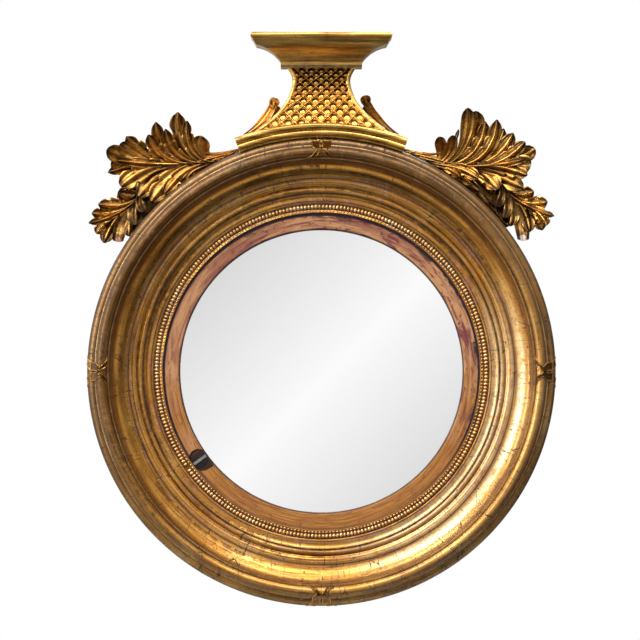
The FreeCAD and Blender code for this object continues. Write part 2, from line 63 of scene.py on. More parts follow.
class Strand:  # one socket, so that shader maths reads as a sum
    def __init__(self, finish, socket):
        self.finish = finish
        self.socket = socket

    def math(self, operation, *others):
        return self.finish.node("ShaderNodeMath", {"operation": operation}, dict(enumerate((self,) + others)))

    def __add__(self, other): return self.math("ADD", other)
    def __sub__(self, other): return self.math("SUBTRACT", other)
    def __mul__(self, other): return self.math("MULTIPLY", other)
    def __truediv__(self, other): return self.math("DIVIDE", other)
    def __neg__(self): return self.math("MULTIPLY", -1.0)
    def __abs__(self): return self.math("ABSOLUTE")
    def __rsub__(self, other): return -self + other
    def __rtruediv__(self, other): return self.math("POWER", -1.0) * other
    __radd__ = __add__
    __rmul__ = __mul__

    def atLeast(self, other): return self.math("MAXIMUM", other)
    def atMost(self, other): return self.math("MINIMUM", other)

    def between(self, low, high):  # 0 under low, 1 over high
        settings = {"interpolation_type": "SMOOTHSTEP", "clamp": True}
        return self.finish.node("ShaderNodeMapRange", settings, {0: self, 1: low, 2: high})


class Finish:  # one material, and the nodes that feed it
    def __init__(self, name, tree=None, **constants):
        if tree is None:
            self.material = bpy.data.materials.new(name)
            self.material.use_nodes = True
            tree = self.material.node_tree
        self.tree = tree
        self.shader = tree.nodes.get("Principled BSDF")
        for socket, value in constants.items():
            self.shader.inputs[socket.replace("_", " ")].default_value = value

    def node(self, kind, settings=None, values=None, output=0):
        made = self.tree.nodes.new(kind)
        for key, value in (settings or {}).items():
            if key == "stops":
                ramp = made.color_ramp
                while len(ramp.elements) < len(value):
                    ramp.elements.new(1.0)
                for element, (place, grey) in zip(ramp.elements, value):
                    element.position = place
                    element.color = (grey, grey, grey, 1)
            else:
                setattr(made, key, value)
        for key, value in (values or {}).items():
            self.plug(value, made.inputs[key])
        return Strand(self, made.outputs[output])

    def plug(self, value, socket):
        if isinstance(value, Strand):
            self.tree.links.new(value.socket, socket)
        else:
            socket.default_value = value

    def feed(self, **links):
        for socket, value in links.items():
            self.plug(value, self.shader.inputs[socket.replace("_", " ")])
        return self.material

    def place(self):
        return self.node("ShaderNodeTexCoord", output=3)

    def split(self, vector):
        parts = self.node("ShaderNodeSeparateXYZ", values={0: vector})
        return [Strand(self, parts.socket.node.outputs[n]) for n in range(3)]

    def joined(self, x, y, z):
        return self.node("ShaderNodeCombineXYZ", values={0: x, 1: y, 2: z})

    def stretched(self, vector, scale):
        return self.node("ShaderNodeMapping", values={0: vector, 3: scale})

    def vectors(self, operation, first, second, output=0):
        return self.node("ShaderNodeVectorMath", {"operation": operation}, {0: first, 1: second}, output)

    def noise(self, vector, scale, detail=3.0, rough=0.55, warp=0.0):
        values = {"Vector": vector, "Scale": scale, "Detail": detail, "Roughness": rough, "Distortion": warp}
        return self.node("ShaderNodeTexNoise", {"noise_dimensions": "3D"}, values)

    def cells(self, vector, scale):  # how far the nearest edge between two cells is
        settings = {"feature": "DISTANCE_TO_EDGE", "voronoi_dimensions": "3D"}
        return self.node("ShaderNodeTexVoronoi", settings, {"Vector": vector, "Scale": scale})

    def ramp(self, value, stops):
        return self.node("ShaderNodeValToRGB", {"stops": stops}, {0: value})

    def mixed(self, share, first, second, way="MIX"):
        values = {0: share, 6: first, 7: second}
        return self.node("ShaderNodeMix", {"data_type": "RGBA", "blend_type": way}, values, 2)

    def lay(self, share, tone):  # one more colour over what is there
        self.body = self.mixed(share, self.body, tone)

    def bump(self, height, strength, depth):
        normal = self.node("ShaderNodeBump", values={"Strength": strength, "Distance": depth, "Height": height})
        self.plug(normal, self.shader.inputs["Normal"])


def colour(red, green, blue):  # a colour as it is read off a screen, 0 to 255
    return tuple((c / 255 / 12.92 if c < 11 else ((c / 255 + 0.055) / 1.055) ** 2.4) for c in (red, green, blue)) + (1.0,)


def colours(table):
    return {key: colour(*value) for key, value in table.items()}


lightSizes = {
    "room": 0.26, "slant": 0.05, "cone": (0.85, 0.885), "from": (-0.5, 0.0, 0.87), "bank": 1.7,
    "wallStops": [(0.0, 0.985), (0.72, 0.70)],
    "bankStops": [(0.0, 0.02), (0.16, 0.04), (0.32, 0.10), (0.42, 0.28), (0.52, 0.50), (0.72, 0.72), (0.9, 1.0)]}
world = bpy.data.worlds.new("studio")
scene.world = world
world.use_nodes = True
air = Finish("air", world.node_tree)
heading = air.node("ShaderNodeTexCoord", output=0)
x, y, z = air.split(heading)
ahead = (-y).between(*lightSizes["cone"])  # what stands in front of the glass: a soft pale wall
wall = air.ramp(abs(x - z - lightSizes["slant"]), lightSizes["wallStops"])
lit = air.vectors("DOT_PRODUCT", heading, lightSizes["from"], 1)
bank = air.ramp(lit * 0.5 + 0.5, lightSizes["bankStops"])
bank = air.mixed(1.0, bank, (lightSizes["bank"],) * 3 + (1.0,), "MULTIPLY")
rays = air.node("ShaderNodeLightPath").socket.node.outputs
seen = Strand(air, rays["Is Camera Ray"]).atLeast(Strand(air, rays["Is Transmission Ray"]))
around = air.mixed(ahead, bank, wall)
level = air.mixed(Strand(air, rays["Is Glossy Ray"]), (lightSizes["room"],) * 3 + (1.0,), around)
air.plug(air.mixed(seen, level, (1.0, 1.0, 1.0, 1.0)), world.node_tree.nodes["Background"].inputs["Color"])

lampSizes = {
    "aim": (0, 0, 0.02), "reach": 3.1, "front": -2.0,
    "bank": {"keyLight": (122, 1.5, 88), "sideLight": (166, 1.4, 62), "topLight": (78, 1.4, 70)},
    "single": {"fillLight": ((3.4, -1.5, -0.5), 1.4, 5), "backLight": ((0.6, 2.6, 1.6), 1.6, 45)}}


def lamp(name, place, size, power):
    data = bpy.data.lights.new(name, "AREA")
    data.shape = "DISK"
    data.size = size
    data.energy = power
    made = linked(name, data)
    made.location = place
    made.rotation_euler = (Vector(lampSizes["aim"]) - Vector(place)).to_track_quat("-Z", "Y").to_euler()


for name, (azimuth, size, power) in lampSizes["bank"].items():  # soft lights on an arc, from the left over the top
    turn = math.radians(azimuth)
    reach = lampSizes["reach"]
    lamp(name, (reach * math.cos(turn), lampSizes["front"], reach * math.sin(turn)), size, power)
for name, values in lampSizes["single"].items():
    lamp(name, *values)

floorSizes = {"side": 1.3, "front": -0.5, "back": 1.5, "height": -1.2}
s = floorSizes
corners = [(-s["side"], s["front"]), (s["side"], s["front"]), (s["side"], s["back"]), (-s["side"], s["back"])]
floorMesh = bpy.data.meshes.new("floor")
floorMesh.from_pydata([(x, y, s["height"]) for x, y in corners], [], [(0, 1, 2, 3)])
floor = linked("floor", floorMesh)
floorMesh.materials.append(Finish("paleFloor", Roughness=0.9, Base_Color=(0.82, 0.82, 0.81, 1)).material)
print("camera, floor and light are up")


# finishes

def roundTheRing(f):  # directions and radius that run round the ring without a seam, and grain along them
    x, y, z = f.split(f.place())
    radius = (x * x + z * z).math("SQRT")
    cosine, sine = x / radius, z / radius

    def turned(along, through, *values):
        return f.noise(f.joined(cosine * along, radius * through, sine * along), 1.0, *values)

    return cosine, sine, radius, turned


bandTop = 560  # radius or height in mm where the bands of the gilding end
# the kept tone colours painted highlight lines, the pale tone for the right a painted highlight, and the dark tone for
# the upper left painted shade
gildTones = {
    "leaf": (214, 150, 58), "bright": (244, 196, 108), "shade": (162, 106, 30), "olive": (96, 66, 20),
    "bole": (140, 72, 44), "rose": (204, 150, 116), "dirt": (44, 27, 10), "chalk": (236, 214, 176),
    "kept": (250, 200, 112), "thin": (250, 220, 166), "smear": (88, 50, 10), "dust": (112, 96, 62), "paintedShadeTone": (58, 34, 8)}


# lean: the strength of the painted shade at the upper left and of the painted highlight at the lower right
def gilding(name, worn, dirty, crackle, ring=False, grimeAndShade=(), rubbed=(), glintBands=(), thinned=(), broken=(), tone=None,
        scale=1.0, relief=0.55, meshShaded=False, shine=0.88, lean=(0.0, 0.0), along=(1.0, 1.0, 3.2)):
    tones = colours(dict(gildTones, **(tone or {})))
    f = Finish(name, Coat_Roughness=0.3, Coat_Weight=0.14, Specular_IOR_Level=0.5)
    spot = f.place()
    cloud = f.noise(spot, 11 * scale, 5, 0.6, 0.6)
    grain = f.noise(spot, 95 * scale, 5, 0.62, 0.3)
    fine = f.noise(spot, 520, 3, 0.6)
    if ring:
        cosine, sine, radius, turned = roundTheRing(f)
        streaks = turned(3.2, 300, 4, 0.6, 0.4)
        lines = f.cells(f.joined(cosine * 21 + cloud * 0.5, radius * 10, sine * 21 + grain * 0.06), 1.0)
        hairs = f.cells(f.joined(cosine * 58 + cloud, radius * 30, sine * 58 + grain * 0.1), 1.0)
        smears = f.noise(f.joined(cosine * 1.9 + cloud * 0.3, radius * 150, sine * 1.9), 1.0, 5, 0.7, 0.5)
        dust = f.noise(f.joined(cosine * 2.6, radius * 90 + cloud * 0.8, sine * 2.6), 1.0, 4, 0.66, 0.5)
    else:
        streaks = f.noise(f.stretched(spot, along), 60 * scale, 4, 0.6, 0.8)
        lines = f.cells(spot, 24 * scale)
        hairs = f.cells(spot, 70 * scale)

    def banded(stops):  # a value that changes with the radius, or with the height where nothing is turned
        reach = radius if ring else f.split(spot)[2]
        return f.ramp(reach * (1 / (bandTop * mm)), [(r / bandTop, value) for r, value in stops])

    cracks = (1 - lines.between(0.004, 0.022)) * grain.between(0.44, 0.58) * crackle
    cracks = cracks.atLeast((1 - hairs.between(0.006, 0.03)) * cloud.between(0.5, 0.64) * crackle * 0.6)
    wear = f.noise(spot, 34 * scale, 6, 0.72, 0.4)
    patches = wear.between(0.66 - 0.1 * worn, 0.73 - 0.1 * worn) * worn
    soilAndShade = f.noise(spot, 26 * scale, 6, 0.7, 1.2).between(0.56, 0.72) * dirty
    # painted shade with grime: dark bands by radius, or by height, in quirks, grooves, channels and under lips and
    # fillets
    if grimeAndShade:
        soilAndShade = soilAndShade.atLeast(banded(grimeAndShade) * (grain * 1.1 + 0.35))
    if rubbed:
        patches = patches.atLeast(banded(rubbed) * wear.between(0.42, 0.6))
    f.body = f.mixed(streaks.between(0.3, 0.7), tones["shade"], tones["leaf"])
    f.lay(cloud.between(0.45, 0.75) * 0.6, tones["bright"])
    if ring:
        # brown smears and dust run along the turning
        f.lay(smears.between(0.48, 0.6) * grain.between(0.34, 0.54) * 0.85, tones["smear"])
        f.lay(dust.between(0.54, 0.66) * fine.between(0.36, 0.6) * 0.5, tones["dust"])
        # painted shade: the rings are darker towards the upper left
        upperLeftShade = (sine * 0.86 - cosine * 0.5).between(-0.5, 0.55) * lean[0]
        f.lay(upperLeftShade * (0.7 + cloud * 0.6), tones["paintedShadeTone"])
        if glintBands:  # painted highlight lines on the crests, most at the upper left
            kept = banded(glintBands) * ((sine * 0.8 - cosine * 0.6).between(-0.6, 0.5) * 0.7 + 0.3)
            f.lay(kept * cloud.between(0.3, 0.55), tones["kept"])
        # painted highlight: paler colour towards the lower right, in bands by radius
        thin = (cosine * 0.88 - sine * 0.48).between(0.45, 0.98) * lean[1]
        if thinned:
            thin = thin * banded(thinned)
        f.lay(thin * grain.between(0.3, 0.5), tones["thin"])
    f.lay(f.noise(spot, 17 * scale, 4).between(0.5, 0.74) * dirty, tones["olive"])
    f.lay(patches, f.mixed(grain.between(0.42, 0.6), tones["bole"], tones["rose"]))
    f.lay(wear.between(0.74, 0.78) * worn, tones["chalk"])
    f.lay(soilAndShade.atMost(0.92), tones["dirt"])
    if meshShaded:  # painted shade that the mesh itself marks, deep in its hollows and under other parts
        deep = f.node("ShaderNodeAttribute", {"attribute_name": "deep"}, output=2)
        f.lay((deep * (grain * 1.2 + 0.4)).atMost(0.95), tones["dirt"])
        f.feed(Coat_Weight=((1 - deep) * 0.14).atLeast(0.0))
    if broken:  # bare plaster where a tip has broken off
        flat = f.stretched(spot, (1.0, 0.0, 1.0))
        for place, bare in broken:
            gone = f.vectors("DISTANCE", flat, place, 1) + (grain - 0.5) * 0.008
            f.lay(1 - gone.between(0.007, 0.0088), colour(*bare))
    specks = fine.between(0.66, 0.74) * grain.between(0.5, 0.6)
    f.lay(cracks.atLeast(specks * 0.7), tones["dirt"])
    dull = patches.atLeast(soilAndShade).atLeast(cracks)
    f.bump(grain * 0.5 + fine * 0.16 + streaks * 0.5 - cracks * 1.3 - patches * 0.35, relief, 0.0008)
    metal = shine - dull * 0.6
    if ring:
        metal = metal - thin * 0.5
    gloss = 0.30 + dull * 0.35 + (grain - 0.5) * 0.22 + (streaks - 0.5) * 0.12
    return f.feed(Base_Color=f.body, Metallic=metal.atLeast(0.0), Roughness=gloss.atLeast(0.16))


rimGilt = gilding("rimGilding", 0.5, 0.35, 0.9, True, lean=(0.68, 0.1),
    tone={"kept": (252, 206, 132), "rose": (218, 164, 98), "bole": (152, 92, 44)},
    glintBands=[(383.2, 0), (384.4, 0.9), (386.2, 0.9), (387.2, 0), (392.8, 0), (393.8, 0.3), (395, 0.3), (396.4, 0)],
    grimeAndShade=[(355, 0.2), (361.5, 0.9), (363, 0.1), (366.4, 0.9), (368, 0.05), (383.4, 0.8),
        (385, 0), (387.4, 1), (390, 0.5), (394, 0.42), (396, 0.6), (400, 0.9)],
    rubbed=[(362, 0.2), (364, 0.7), (367, 0.1), (374, 0.35), (379, 0.3), (385, 0.5), (388, 0), (394, 0.25), (400, 0.1)])
coveGilt = gilding("coveGilding", 0.22, 0.3, 0.9, True, lean=(0.38, 0.75), tone={"kept": (240, 176, 74)},
    thinned=[(334, 0.1), (338, 1), (346, 1), (351, 0.15)],
    glintBands=[(347, 0), (350.5, 0.9), (352.5, 0.9), (356, 0)],
    grimeAndShade=[(330, 0.95), (333, 0.3), (337, 0), (352, 0), (358, 0.25), (361.5, 0.75)],
    rubbed=[(331, 0.3), (334, 0.5), (338, 0), (362, 0.2)])
stepGilt = gilding("stepGilding", 0.4, 0.3, 0.8, True, lean=(0.0, 0.5), tone={"kept": (246, 190, 96)},
    glintBands=[(318.4, 0), (320.4, 0.8), (321.6, 0.8), (323, 0)],
    grimeAndShade=[(291, 0.9), (294, 0.2), (302, 0.05), (304.6, 0.9), (306.5, 0.9), (309, 0.05), (314.5, 0.35),
        (315.5, 0.5), (317, 0.05), (323.6, 0.2), (324.5, 0.95), (326, 0.05), (330.6, 0.8)],
    rubbed=[(291, 0.4), (295, 0.7), (300, 0.1), (305, 0), (310, 0.4), (316, 0), (327, 0.6), (331, 0.3)])
sightGilt = gilding("sightGilding", 0.5, 0.4, 0.3, True,
    grimeAndShade=[(271.5, 1), (272.6, 0.2), (276, 0.1), (278, 0.8), (287, 0.8), (288.6, 0.2), (291.6, 0.5)],
    rubbed=[(272, 0.5), (276, 0.6), (279, 0), (288, 0.3), (291, 0.7)])
beadGilt = gilding("beadGilding", 0.5, 0.3, 0.0, scale=1.6, shine=0.62,
    tone={"leaf": (226, 180, 118), "bright": (246, 218, 170), "shade": (176, 124, 66), "rose": (232, 196, 156)})
leafGilt = gilding("leafGilding", 0.2, 0.35, 0.1, scale=1.3, relief=0.3, meshShaded=True,
    tone={"leaf": (206, 150, 68), "bright": (232, 190, 112), "shade": (166, 112, 40)},
    broken=(((-0.3495, 0.0, 0.2225), (112, 74, 58)), ((0.3445, 0.0, 0.2265), (92, 84, 76))))
panelGilt = gilding("panelGilding", 0.2, 0.3, 0.1, scale=1.2, relief=0.25, meshShaded=True,
    tone={"leaf": (226, 168, 76), "shade": (190, 132, 48)})
sideGilt = gilding("sideLeafGilding", 0.3, 0.75, 0.2, scale=1.3, relief=0.35, meshShaded=True,
    tone={"leaf": (190, 136, 62), "shade": (128, 84, 30)})
boardGilt = gilding("pedestalGilding", 0.35, 0.4, 0.5, along=(0.16, 1.0, 3.0),
    tone={"shade": (140, 100, 36), "leaf": (228, 180, 92), "bole": (120, 74, 40)},
    grimeAndShade=[(425, 0), (519, 0), (519.8, 0.95), (523.8, 0.9), (525, 0.1), (529, 0.12), (538, 0.45), (548, 0.2), (550, 0.12),
        (556, 0.1)])
tieGilt = gilding("tieGilding", 0.65, 0.45, 0.2, scale=1.5, relief=0.3, meshShaded=True)


slipTones = {
    "ochre": (192, 134, 68), "pale": (196, 146, 104), "rose": (150, 98, 78), "plum": (104, 38, 56), "black": (34, 26, 30),
    "brown": (134, 82, 34), "worn": (150, 98, 50), "spilt": (24, 17, 16), "hollow": (46, 26, 26), "lowHoleShade": (20, 14, 13)}
slipSizes = {"hole": (-0.2113, -0.034, -0.1507), "spill": (-0.2030, -0.034, -0.1525), "bore": (0.2442, 0.2452),
    "ledge": (0.2660, 0.2675), "outer": (0.2560, 0.2690), "rim": (0.2674, 0.2688)}


def slipWood():
    tones = colours(slipTones)
    s = slipSizes
    f = Finish("slipWood", Coat_Weight=0.0, Metallic=0.0, Specular_IOR_Level=0.2)
    cosine, sine, radius, turned = roundTheRing(f)
    spot = f.place()
    x, y, z = f.split(spot)
    grain = turned(4, 420, 5, 0.65, 0.6)
    broad = turned(3, 90, 4, 0.6, 0.8)
    cloud = f.noise(spot, 9, 4, 0.6, 0.5)
    upper = (z * 1.9 + x * 1.3 + (cloud - 0.5) * 0.5).between(-0.05, 0.42)  # the bole shows more at the top and right
    rosy = (z * 1.3 + (cloud - 0.5) * 0.9 + (broad - 0.5) * 0.5).between(-0.22, 0.12)
    f.body = f.mixed(grain.between(0.34, 0.66), tones["brown"], tones["ochre"])
    f.lay(broad.between(0.42, 0.6) * (1 - upper) * 0.5, tones["worn"])
    f.lay(rosy * 0.85, f.mixed(broad.between(0.4, 0.6), tones["rose"], tones["pale"]))
    plum = turned(5, 130, 4, 0.6, 0.9).between(0.52, 0.6) * (upper * 0.75 + 0.25)
    f.lay(plum * 0.8, tones["plum"])
    stain = turned(6, 50, 3, 0.6, 0.7).between(0.5, 0.6) * radius.between(*s["outer"])
    f.lay(stain * (upper * 0.95 + 0.05), tones["black"])
    # painted shadow of the sight lip along the top of the outer ledge, and a dark line round the bore
    high = (z * 1.0 + (cloud - 0.5) * 0.12).between(0.1, 0.22) * radius.between(*s["ledge"])
    f.lay(high.atLeast((1 - radius.between(*s["bore"])) * 0.8), tones["black"])
    # painted shade in the gap under the sight lip, weaker at the bottom
    f.lay(radius.between(*s["rim"]) * (z.between(-0.24, -0.1) * 0.7 + 0.3), tones["black"])
    specks = turned(26, 160, 3, 0.7).between(0.6, 0.66)
    f.lay(specks * (upper * 0.4 + 0.5), tones["plum"])
    hole = f.vectors("DISTANCE", spot, s["hole"], 1)
    inside = 1 - (hole + (f.noise(spot, 90, 3) - 0.5) * 0.006).between(0.0168, 0.0178)
    low = (z * -1 + s["hole"][2] + f.noise(spot, 120, 3) * 0.006).between(-0.004, 0.006)
    spill = f.vectors("DISTANCE", spot, s["spill"], 1)
    f.lay((1 - (spill + (f.noise(spot, 70, 3) - 0.5) * 0.012).between(0.0165, 0.019)) * 0.95, tones["spilt"])
    # painted shade inside the broken-out hole, darker in its lower half
    f.lay(inside * 0.93, f.mixed(low, tones["hollow"], tones["lowHoleShade"]))
    f.bump(grain * 0.7 + broad * 0.3 - specks * 0.3, 0.4, 0.0006)
    return f.feed(Base_Color=f.body, Roughness=0.5 + grain * 0.2)


pineTones = {"patch": (74, 50, 32), "fleck": (40, 26, 18), "joint": (18, 11, 8)}


def pine(name, light, dark, board=None, segments=8):  # boards of that width, or else segments of a ring
    tones = colours(pineTones)
    f = Finish(name, Metallic=0.0)
    spot = f.place()
    x, y, z = f.split(spot)
    if board:
        counted = x * (1 / board) + 10.5
        part = counted.math("FLOOR")
        joint = abs(counted.math("FRACT") - 0.5).between(0.492, 0.498)
        grainAt = f.joined(x * 80 + part * 5.3, y * 60, z * 6 + part * 1.7)
    else:
        cosine, sine, radius, turned = roundTheRing(f)
        counted = sine.math("ARCTAN2", cosine) * (segments / math.tau) + (segments + 0.5)
        part = counted.math("FLOOR")
        joint = abs(counted.math("FRACT") - 0.5).between(0.4965, 0.4995)
        tilt = part * (math.tau / segments)
        run = x * tilt.math("SINE") - z * tilt.math("COSINE")
        cross = x * tilt.math("COSINE") + z * tilt.math("SINE")
        grainAt = f.joined(run * 7 + part * 3.1, y * 60, cross * 90)
    rings = f.node("ShaderNodeTexWave", {"wave_type": "BANDS", "bands_direction": "X" if board else "Z"},
        {0: grainAt, "Scale": 0.45, "Distortion": 5.0, "Detail": 3.0, "Detail Scale": 0.8}, 1)
    fibre = f.noise(grainAt, 2.6, 5, 0.65)
    patch = f.noise(spot, 7, 4, 0.6, 0.8)
    f.body = f.mixed(rings * 0.55 + fibre * 0.4, colour(*light), colour(*dark))
    f.lay(patch.between(0.45, 0.7) * 0.7, tones["patch"])
    f.lay(f.noise(spot, 60, 4, 0.7).between(0.63, 0.7) * 0.6, tones["fleck"])
    f.lay(joint, tones["joint"])
    f.bump(fibre * 0.8 + rings * 0.3 - joint * 2, 0.5, 0.0008)
    return f.feed(Base_Color=f.body, Roughness=0.62 + fibre * 0.25)


def metalWork(name, clean, tarnished, rust, metallic, rough, scale, rusty):
    tones = colours({"clean": clean, "tarnished": tarnished, "rust": rust})
    f = Finish(name, Coat_Weight=0.0)
    spot = f.place()
    cloud = f.noise(spot, 40 * scale, 5, 0.65, 0.8)
    brushed = f.noise(f.stretched(spot, (1.0, 1.0, 9.0)), 160 * scale, 4, 0.6)
    pits = f.noise(spot, 700, 3, 0.7)
    corroded = f.noise(spot, 90 * scale, 6, 0.72, 0.6).between(0.6 - rusty * 0.14, 0.7 - rusty * 0.14)
    f.body = f.mixed(cloud.between(0.35, 0.68), tones["clean"], tones["tarnished"])
    f.lay(brushed.between(0.5, 0.75) * 0.4, tones["clean"])
    f.lay(corroded * rusty, tones["rust"])
    f.bump(brushed * 0.4 + pits * 0.5 + corroded * 0.6, 0.4, 0.0004)
    gloss = rough + corroded * rusty * 0.3 + (cloud - 0.5) * 0.2
    return f.feed(Base_Color=f.body, Metallic=metallic - corroded * rusty * 0.8, Roughness=gloss)


silverTones = {
    "clear": (0.985, 0.985, 0.985, 1), "veiled": (0.955, 0.958, 0.962, 1),
    "edge": (0.52, 0.5, 0.47, 1), "dust": (0.6, 0.58, 0.54, 1)}


def silverGlass():
    tones = silverTones
    f = Finish("silverGlass", Metallic=1.0, Coat_Weight=0.0)
    spot = f.place()
    x, y, z = f.split(spot)
    radius = (x * x + z * z).math("SQRT")
    edge = radius.between(0.2395, 0.2445) * f.noise(spot, 60, 4, 0.65).between(0.35, 0.6)
    veil = f.noise(spot, 6, 4, 0.6, 0.6)
    dust = f.noise(spot, 900, 2, 0.6).between(0.7, 0.76) * f.noise(spot, 14, 3).between(0.45, 0.6)
    f.body = f.mixed(veil * 0.5, tones["clear"], tones["veiled"])
    f.lay(edge * 0.35, tones["edge"])
    f.lay(dust * 0.12, tones["dust"])
    f.bump(f.noise(spot, 5, 2), 0.03, 0.0006)
    return f.feed(Base_Color=f.body, Roughness=0.035 + veil * 0.025 + dust * 0.1)


slipFinish = slipWood()
ringPine = pine("ringPine", (150, 110, 70), (104, 70, 40))
boardPine = pine("boardPine", (162, 122, 80), (112, 78, 46), 0.134)
blockPine = pine("blockPine", (176, 136, 92), (128, 92, 56), 0.3)
steel = metalWork("clipSteel", (146, 148, 146), (84, 86, 84), (60, 44, 34), 0.8, 0.42, 2.0, 0.6)
screwSteel = metalWork("screwSteel", (128, 124, 118), (74, 68, 62), (96, 56, 32), 0.85, 0.42, 2.0, 0.6)
iron = metalWork("strapIron", (74, 68, 64), (42, 38, 36), (94, 54, 32), 0.75, 0.5, 1.0, 0.6)
brass = metalWork("hangerBrass", (184, 148, 84), (120, 92, 46), (74, 70, 44), 0.95, 0.34, 1.6, 0.4)
mirrorFinish = silverGlass()
print("finishes mixed")


# plain helpers for meshes

def pieceFrom(name, mesh, finish, sharp):
    work = bmesh.new()
    work.from_mesh(mesh)
    bmesh.ops.recalc_face_normals(work, faces=work.faces)
    work.to_mesh(mesh)
    work.free()
    mesh.shade_smooth()
    mesh.set_sharp_from_angle(angle=math.radians(sharp))
    mesh.materials.clear()
    mesh.materials.append(finish)
    return linked(name, mesh)


def meshOf(name, points, faces=(), edges=()):
    mesh = bpy.data.meshes.new(name)
    mesh.from_pydata([tuple(p) for p in points], list(edges), list(faces))
    return mesh


def marked(mesh, name, values, kind="FLOAT"):
    data = mesh.attributes.new(name, kind, "POINT").data
    data.foreach_set("vector" if kind == "FLOAT_VECTOR" else "value", values)


def settle(piece, *nodes, body="frame", slot="gilt_wood"):
    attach(piece, body)
    if nodes:
        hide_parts(*nodes)


def at(x, depth, z):  # millimetres, depth forwards from the wall
    return (x * mm, -depth * mm, z * mm)


def onCircle(radius, turn):
    return radius * math.cos(turn), radius * math.sin(turn)


def arcThrough(first, via, last, steps):  # points after first, up to last
    (ax, ay), (bx, by), (cx, cy) = first, via, last
    a, b, c = ax * ax + ay * ay, bx * bx + by * by, cx * cx + cy * cy
    d = 2 * (ax * (by - cy) + bx * (cy - ay) + cx * (ay - by))
    ux = (a * (by - cy) + b * (cy - ay) + c * (ay - by)) / d
    uy = (a * (cx - bx) + b * (ax - cx) + c * (bx - ax)) / d
    radius = math.hypot(ax - ux, ay - uy)
    start, middle, end = (math.atan2(y - uy, x - ux) for x, y in (first, via, last))
    sweep = (end - start) % math.tau
    if (middle - start) % math.tau > sweep:
        sweep -= math.tau
    turns = [start + sweep * n / steps for n in range(1, steps + 1)]
    return [(ux + radius * math.cos(turn), uy + radius * math.sin(turn)) for turn in turns]


def smoothThrough(points, share):  # height on a smooth line through rising stations
    for n in range(len(points) - 1):
        (x0, y0), (x1, y1) = points[n], points[n + 1]
        if share <= x1 or n == len(points) - 2:
            before = points[max(n - 1, 0)]
            after = points[min(n + 2, len(points) - 1)]
            m0 = (y1 - before[1]) / (x1 - before[0])
            m1 = (after[1] - y0) / (after[0] - x0)
            t = min(max((share - x0) / (x1 - x0), 0), 1)
            w = x1 - x0
            rest = y0 * (2 * t**3 - 3 * t**2 + 1) + m0 * w * (t**3 - 2 * t**2 + t)
            return rest + y1 * (3 * t**2 - 2 * t**3) + m1 * w * (t**3 - t**2)


class Recipe(Finish):  # one geometry nodes tree, and the running of it
    def __init__(self, name, sizes):
        tree = bpy.data.node_groups.new(name, "GeometryNodeTree")
        tree.is_modifier = True
        Finish.__init__(self, name, tree)
        kinds = {int: "Int", float: "Float", tuple: "Vector", bpy.types.Object: "Object", bpy.types.Material: "Material"}
        for way in ("INPUT", "OUTPUT"):
            tree.interface.new_socket("Geometry", in_out=way, socket_type="NodeSocketGeometry")
        self.sockets = {}
        for label, kind in sizes.items():
            made = tree.interface.new_socket(label, in_out="INPUT", socket_type="NodeSocket" + kinds[kind])
            self.sockets[label] = made.identifier
        self.entry = tree.nodes.new("NodeGroupInput")
        self.exit = tree.nodes.new("NodeGroupOutput")

    def given(self, *labels):
        found = [Strand(self, self.entry.outputs[label]) for label in labels]
        return found if len(found) > 1 else found[0]

    def named(self, label, kind="FLOAT"):
        return self.node("GeometryNodeInputNamedAttribute", {"data_type": kind}, {"Name": label})

    def give(self, geometry):
        whole = self.node("GeometryNodeRealizeInstances", values={0: geometry})
        coated = self.node("GeometryNodeSetMaterial", values={"Geometry": whole, "Material": self.given("Finish")})
        self.plug(coated, self.exit.inputs[0])

    def run(self, name, base, sizes, sharp):
        holder = linked(name + "Base", base)
        modifier = holder.modifiers.new("recipe", "NODES")
        modifier.node_group = self.tree
        for label, value in sizes.items():
            modifier[self.sockets[label]] = value
        bpy.context.view_layer.update()
        mesh = bpy.data.meshes.new_from_object(holder.evaluated_get(bpy.context.evaluated_depsgraph_get()))
        holder.modifiers.remove(modifier)
        bpy.data.objects.remove(holder)
        return pieceFrom(name, mesh, sizes["Finish"], sharp)


# turned mouldings: a section, points of radius and depth, is run round the ring

g = turning = Recipe("turning", {"Segments": int, "Unevenness": float, "Finish": bpy.types.Material})
section, segments, uneven = g.given("Geometry", "Segments", "Unevenness")
corners = g.node("GeometryNodeAttributeDomainSize", {"component": "MESH"}, {0: section})
columns = corners + 1
sheet = g.node("GeometryNodeMeshGrid", values={"Vertices X": segments + 1, "Vertices Y": columns})
index = g.node("GeometryNodeInputIndex")
turn = (index / columns).math("FLOOR") * (math.tau / segments)
cosine, sine = turn.math("COSINE"), turn.math("SINE")
corner = index.math("MODULO", columns).math("MODULO", corners)
spot = g.node("GeometryNodeSampleIndex", {"data_type": "FLOAT_VECTOR", "domain": "POINT"},
    {"Geometry": section, "Value": g.node("GeometryNodeInputPosition"), "Index": corner})
radius, depth = g.split(spot)[:2]
waver = g.noise(g.joined(cosine, sine, radius * 9), 3.5, 3) - 0.5
radius = radius + waver * uneven * radius.between(0.02, 0.2)
round3d = g.joined(radius * cosine, depth, radius * sine)
placed = g.node("GeometryNodeSetPosition", values={"Geometry": sheet, "Position": round3d})
g.give(g.node("GeometryNodeMergeByDistance", values={"Geometry": placed, "Distance": 1e-6}))


def turnedRing(name, node, points, finish, segments=320, slot="gilt_wood", uneven=0.0002):
    base = meshOf(name, [at(r, d, 0) for r, d in points])
    ring = turning.run(name, base, {"Segments": segments, "Unevenness": uneven, "Finish": finish}, 32)
    settle(ring, node, slot=slot)


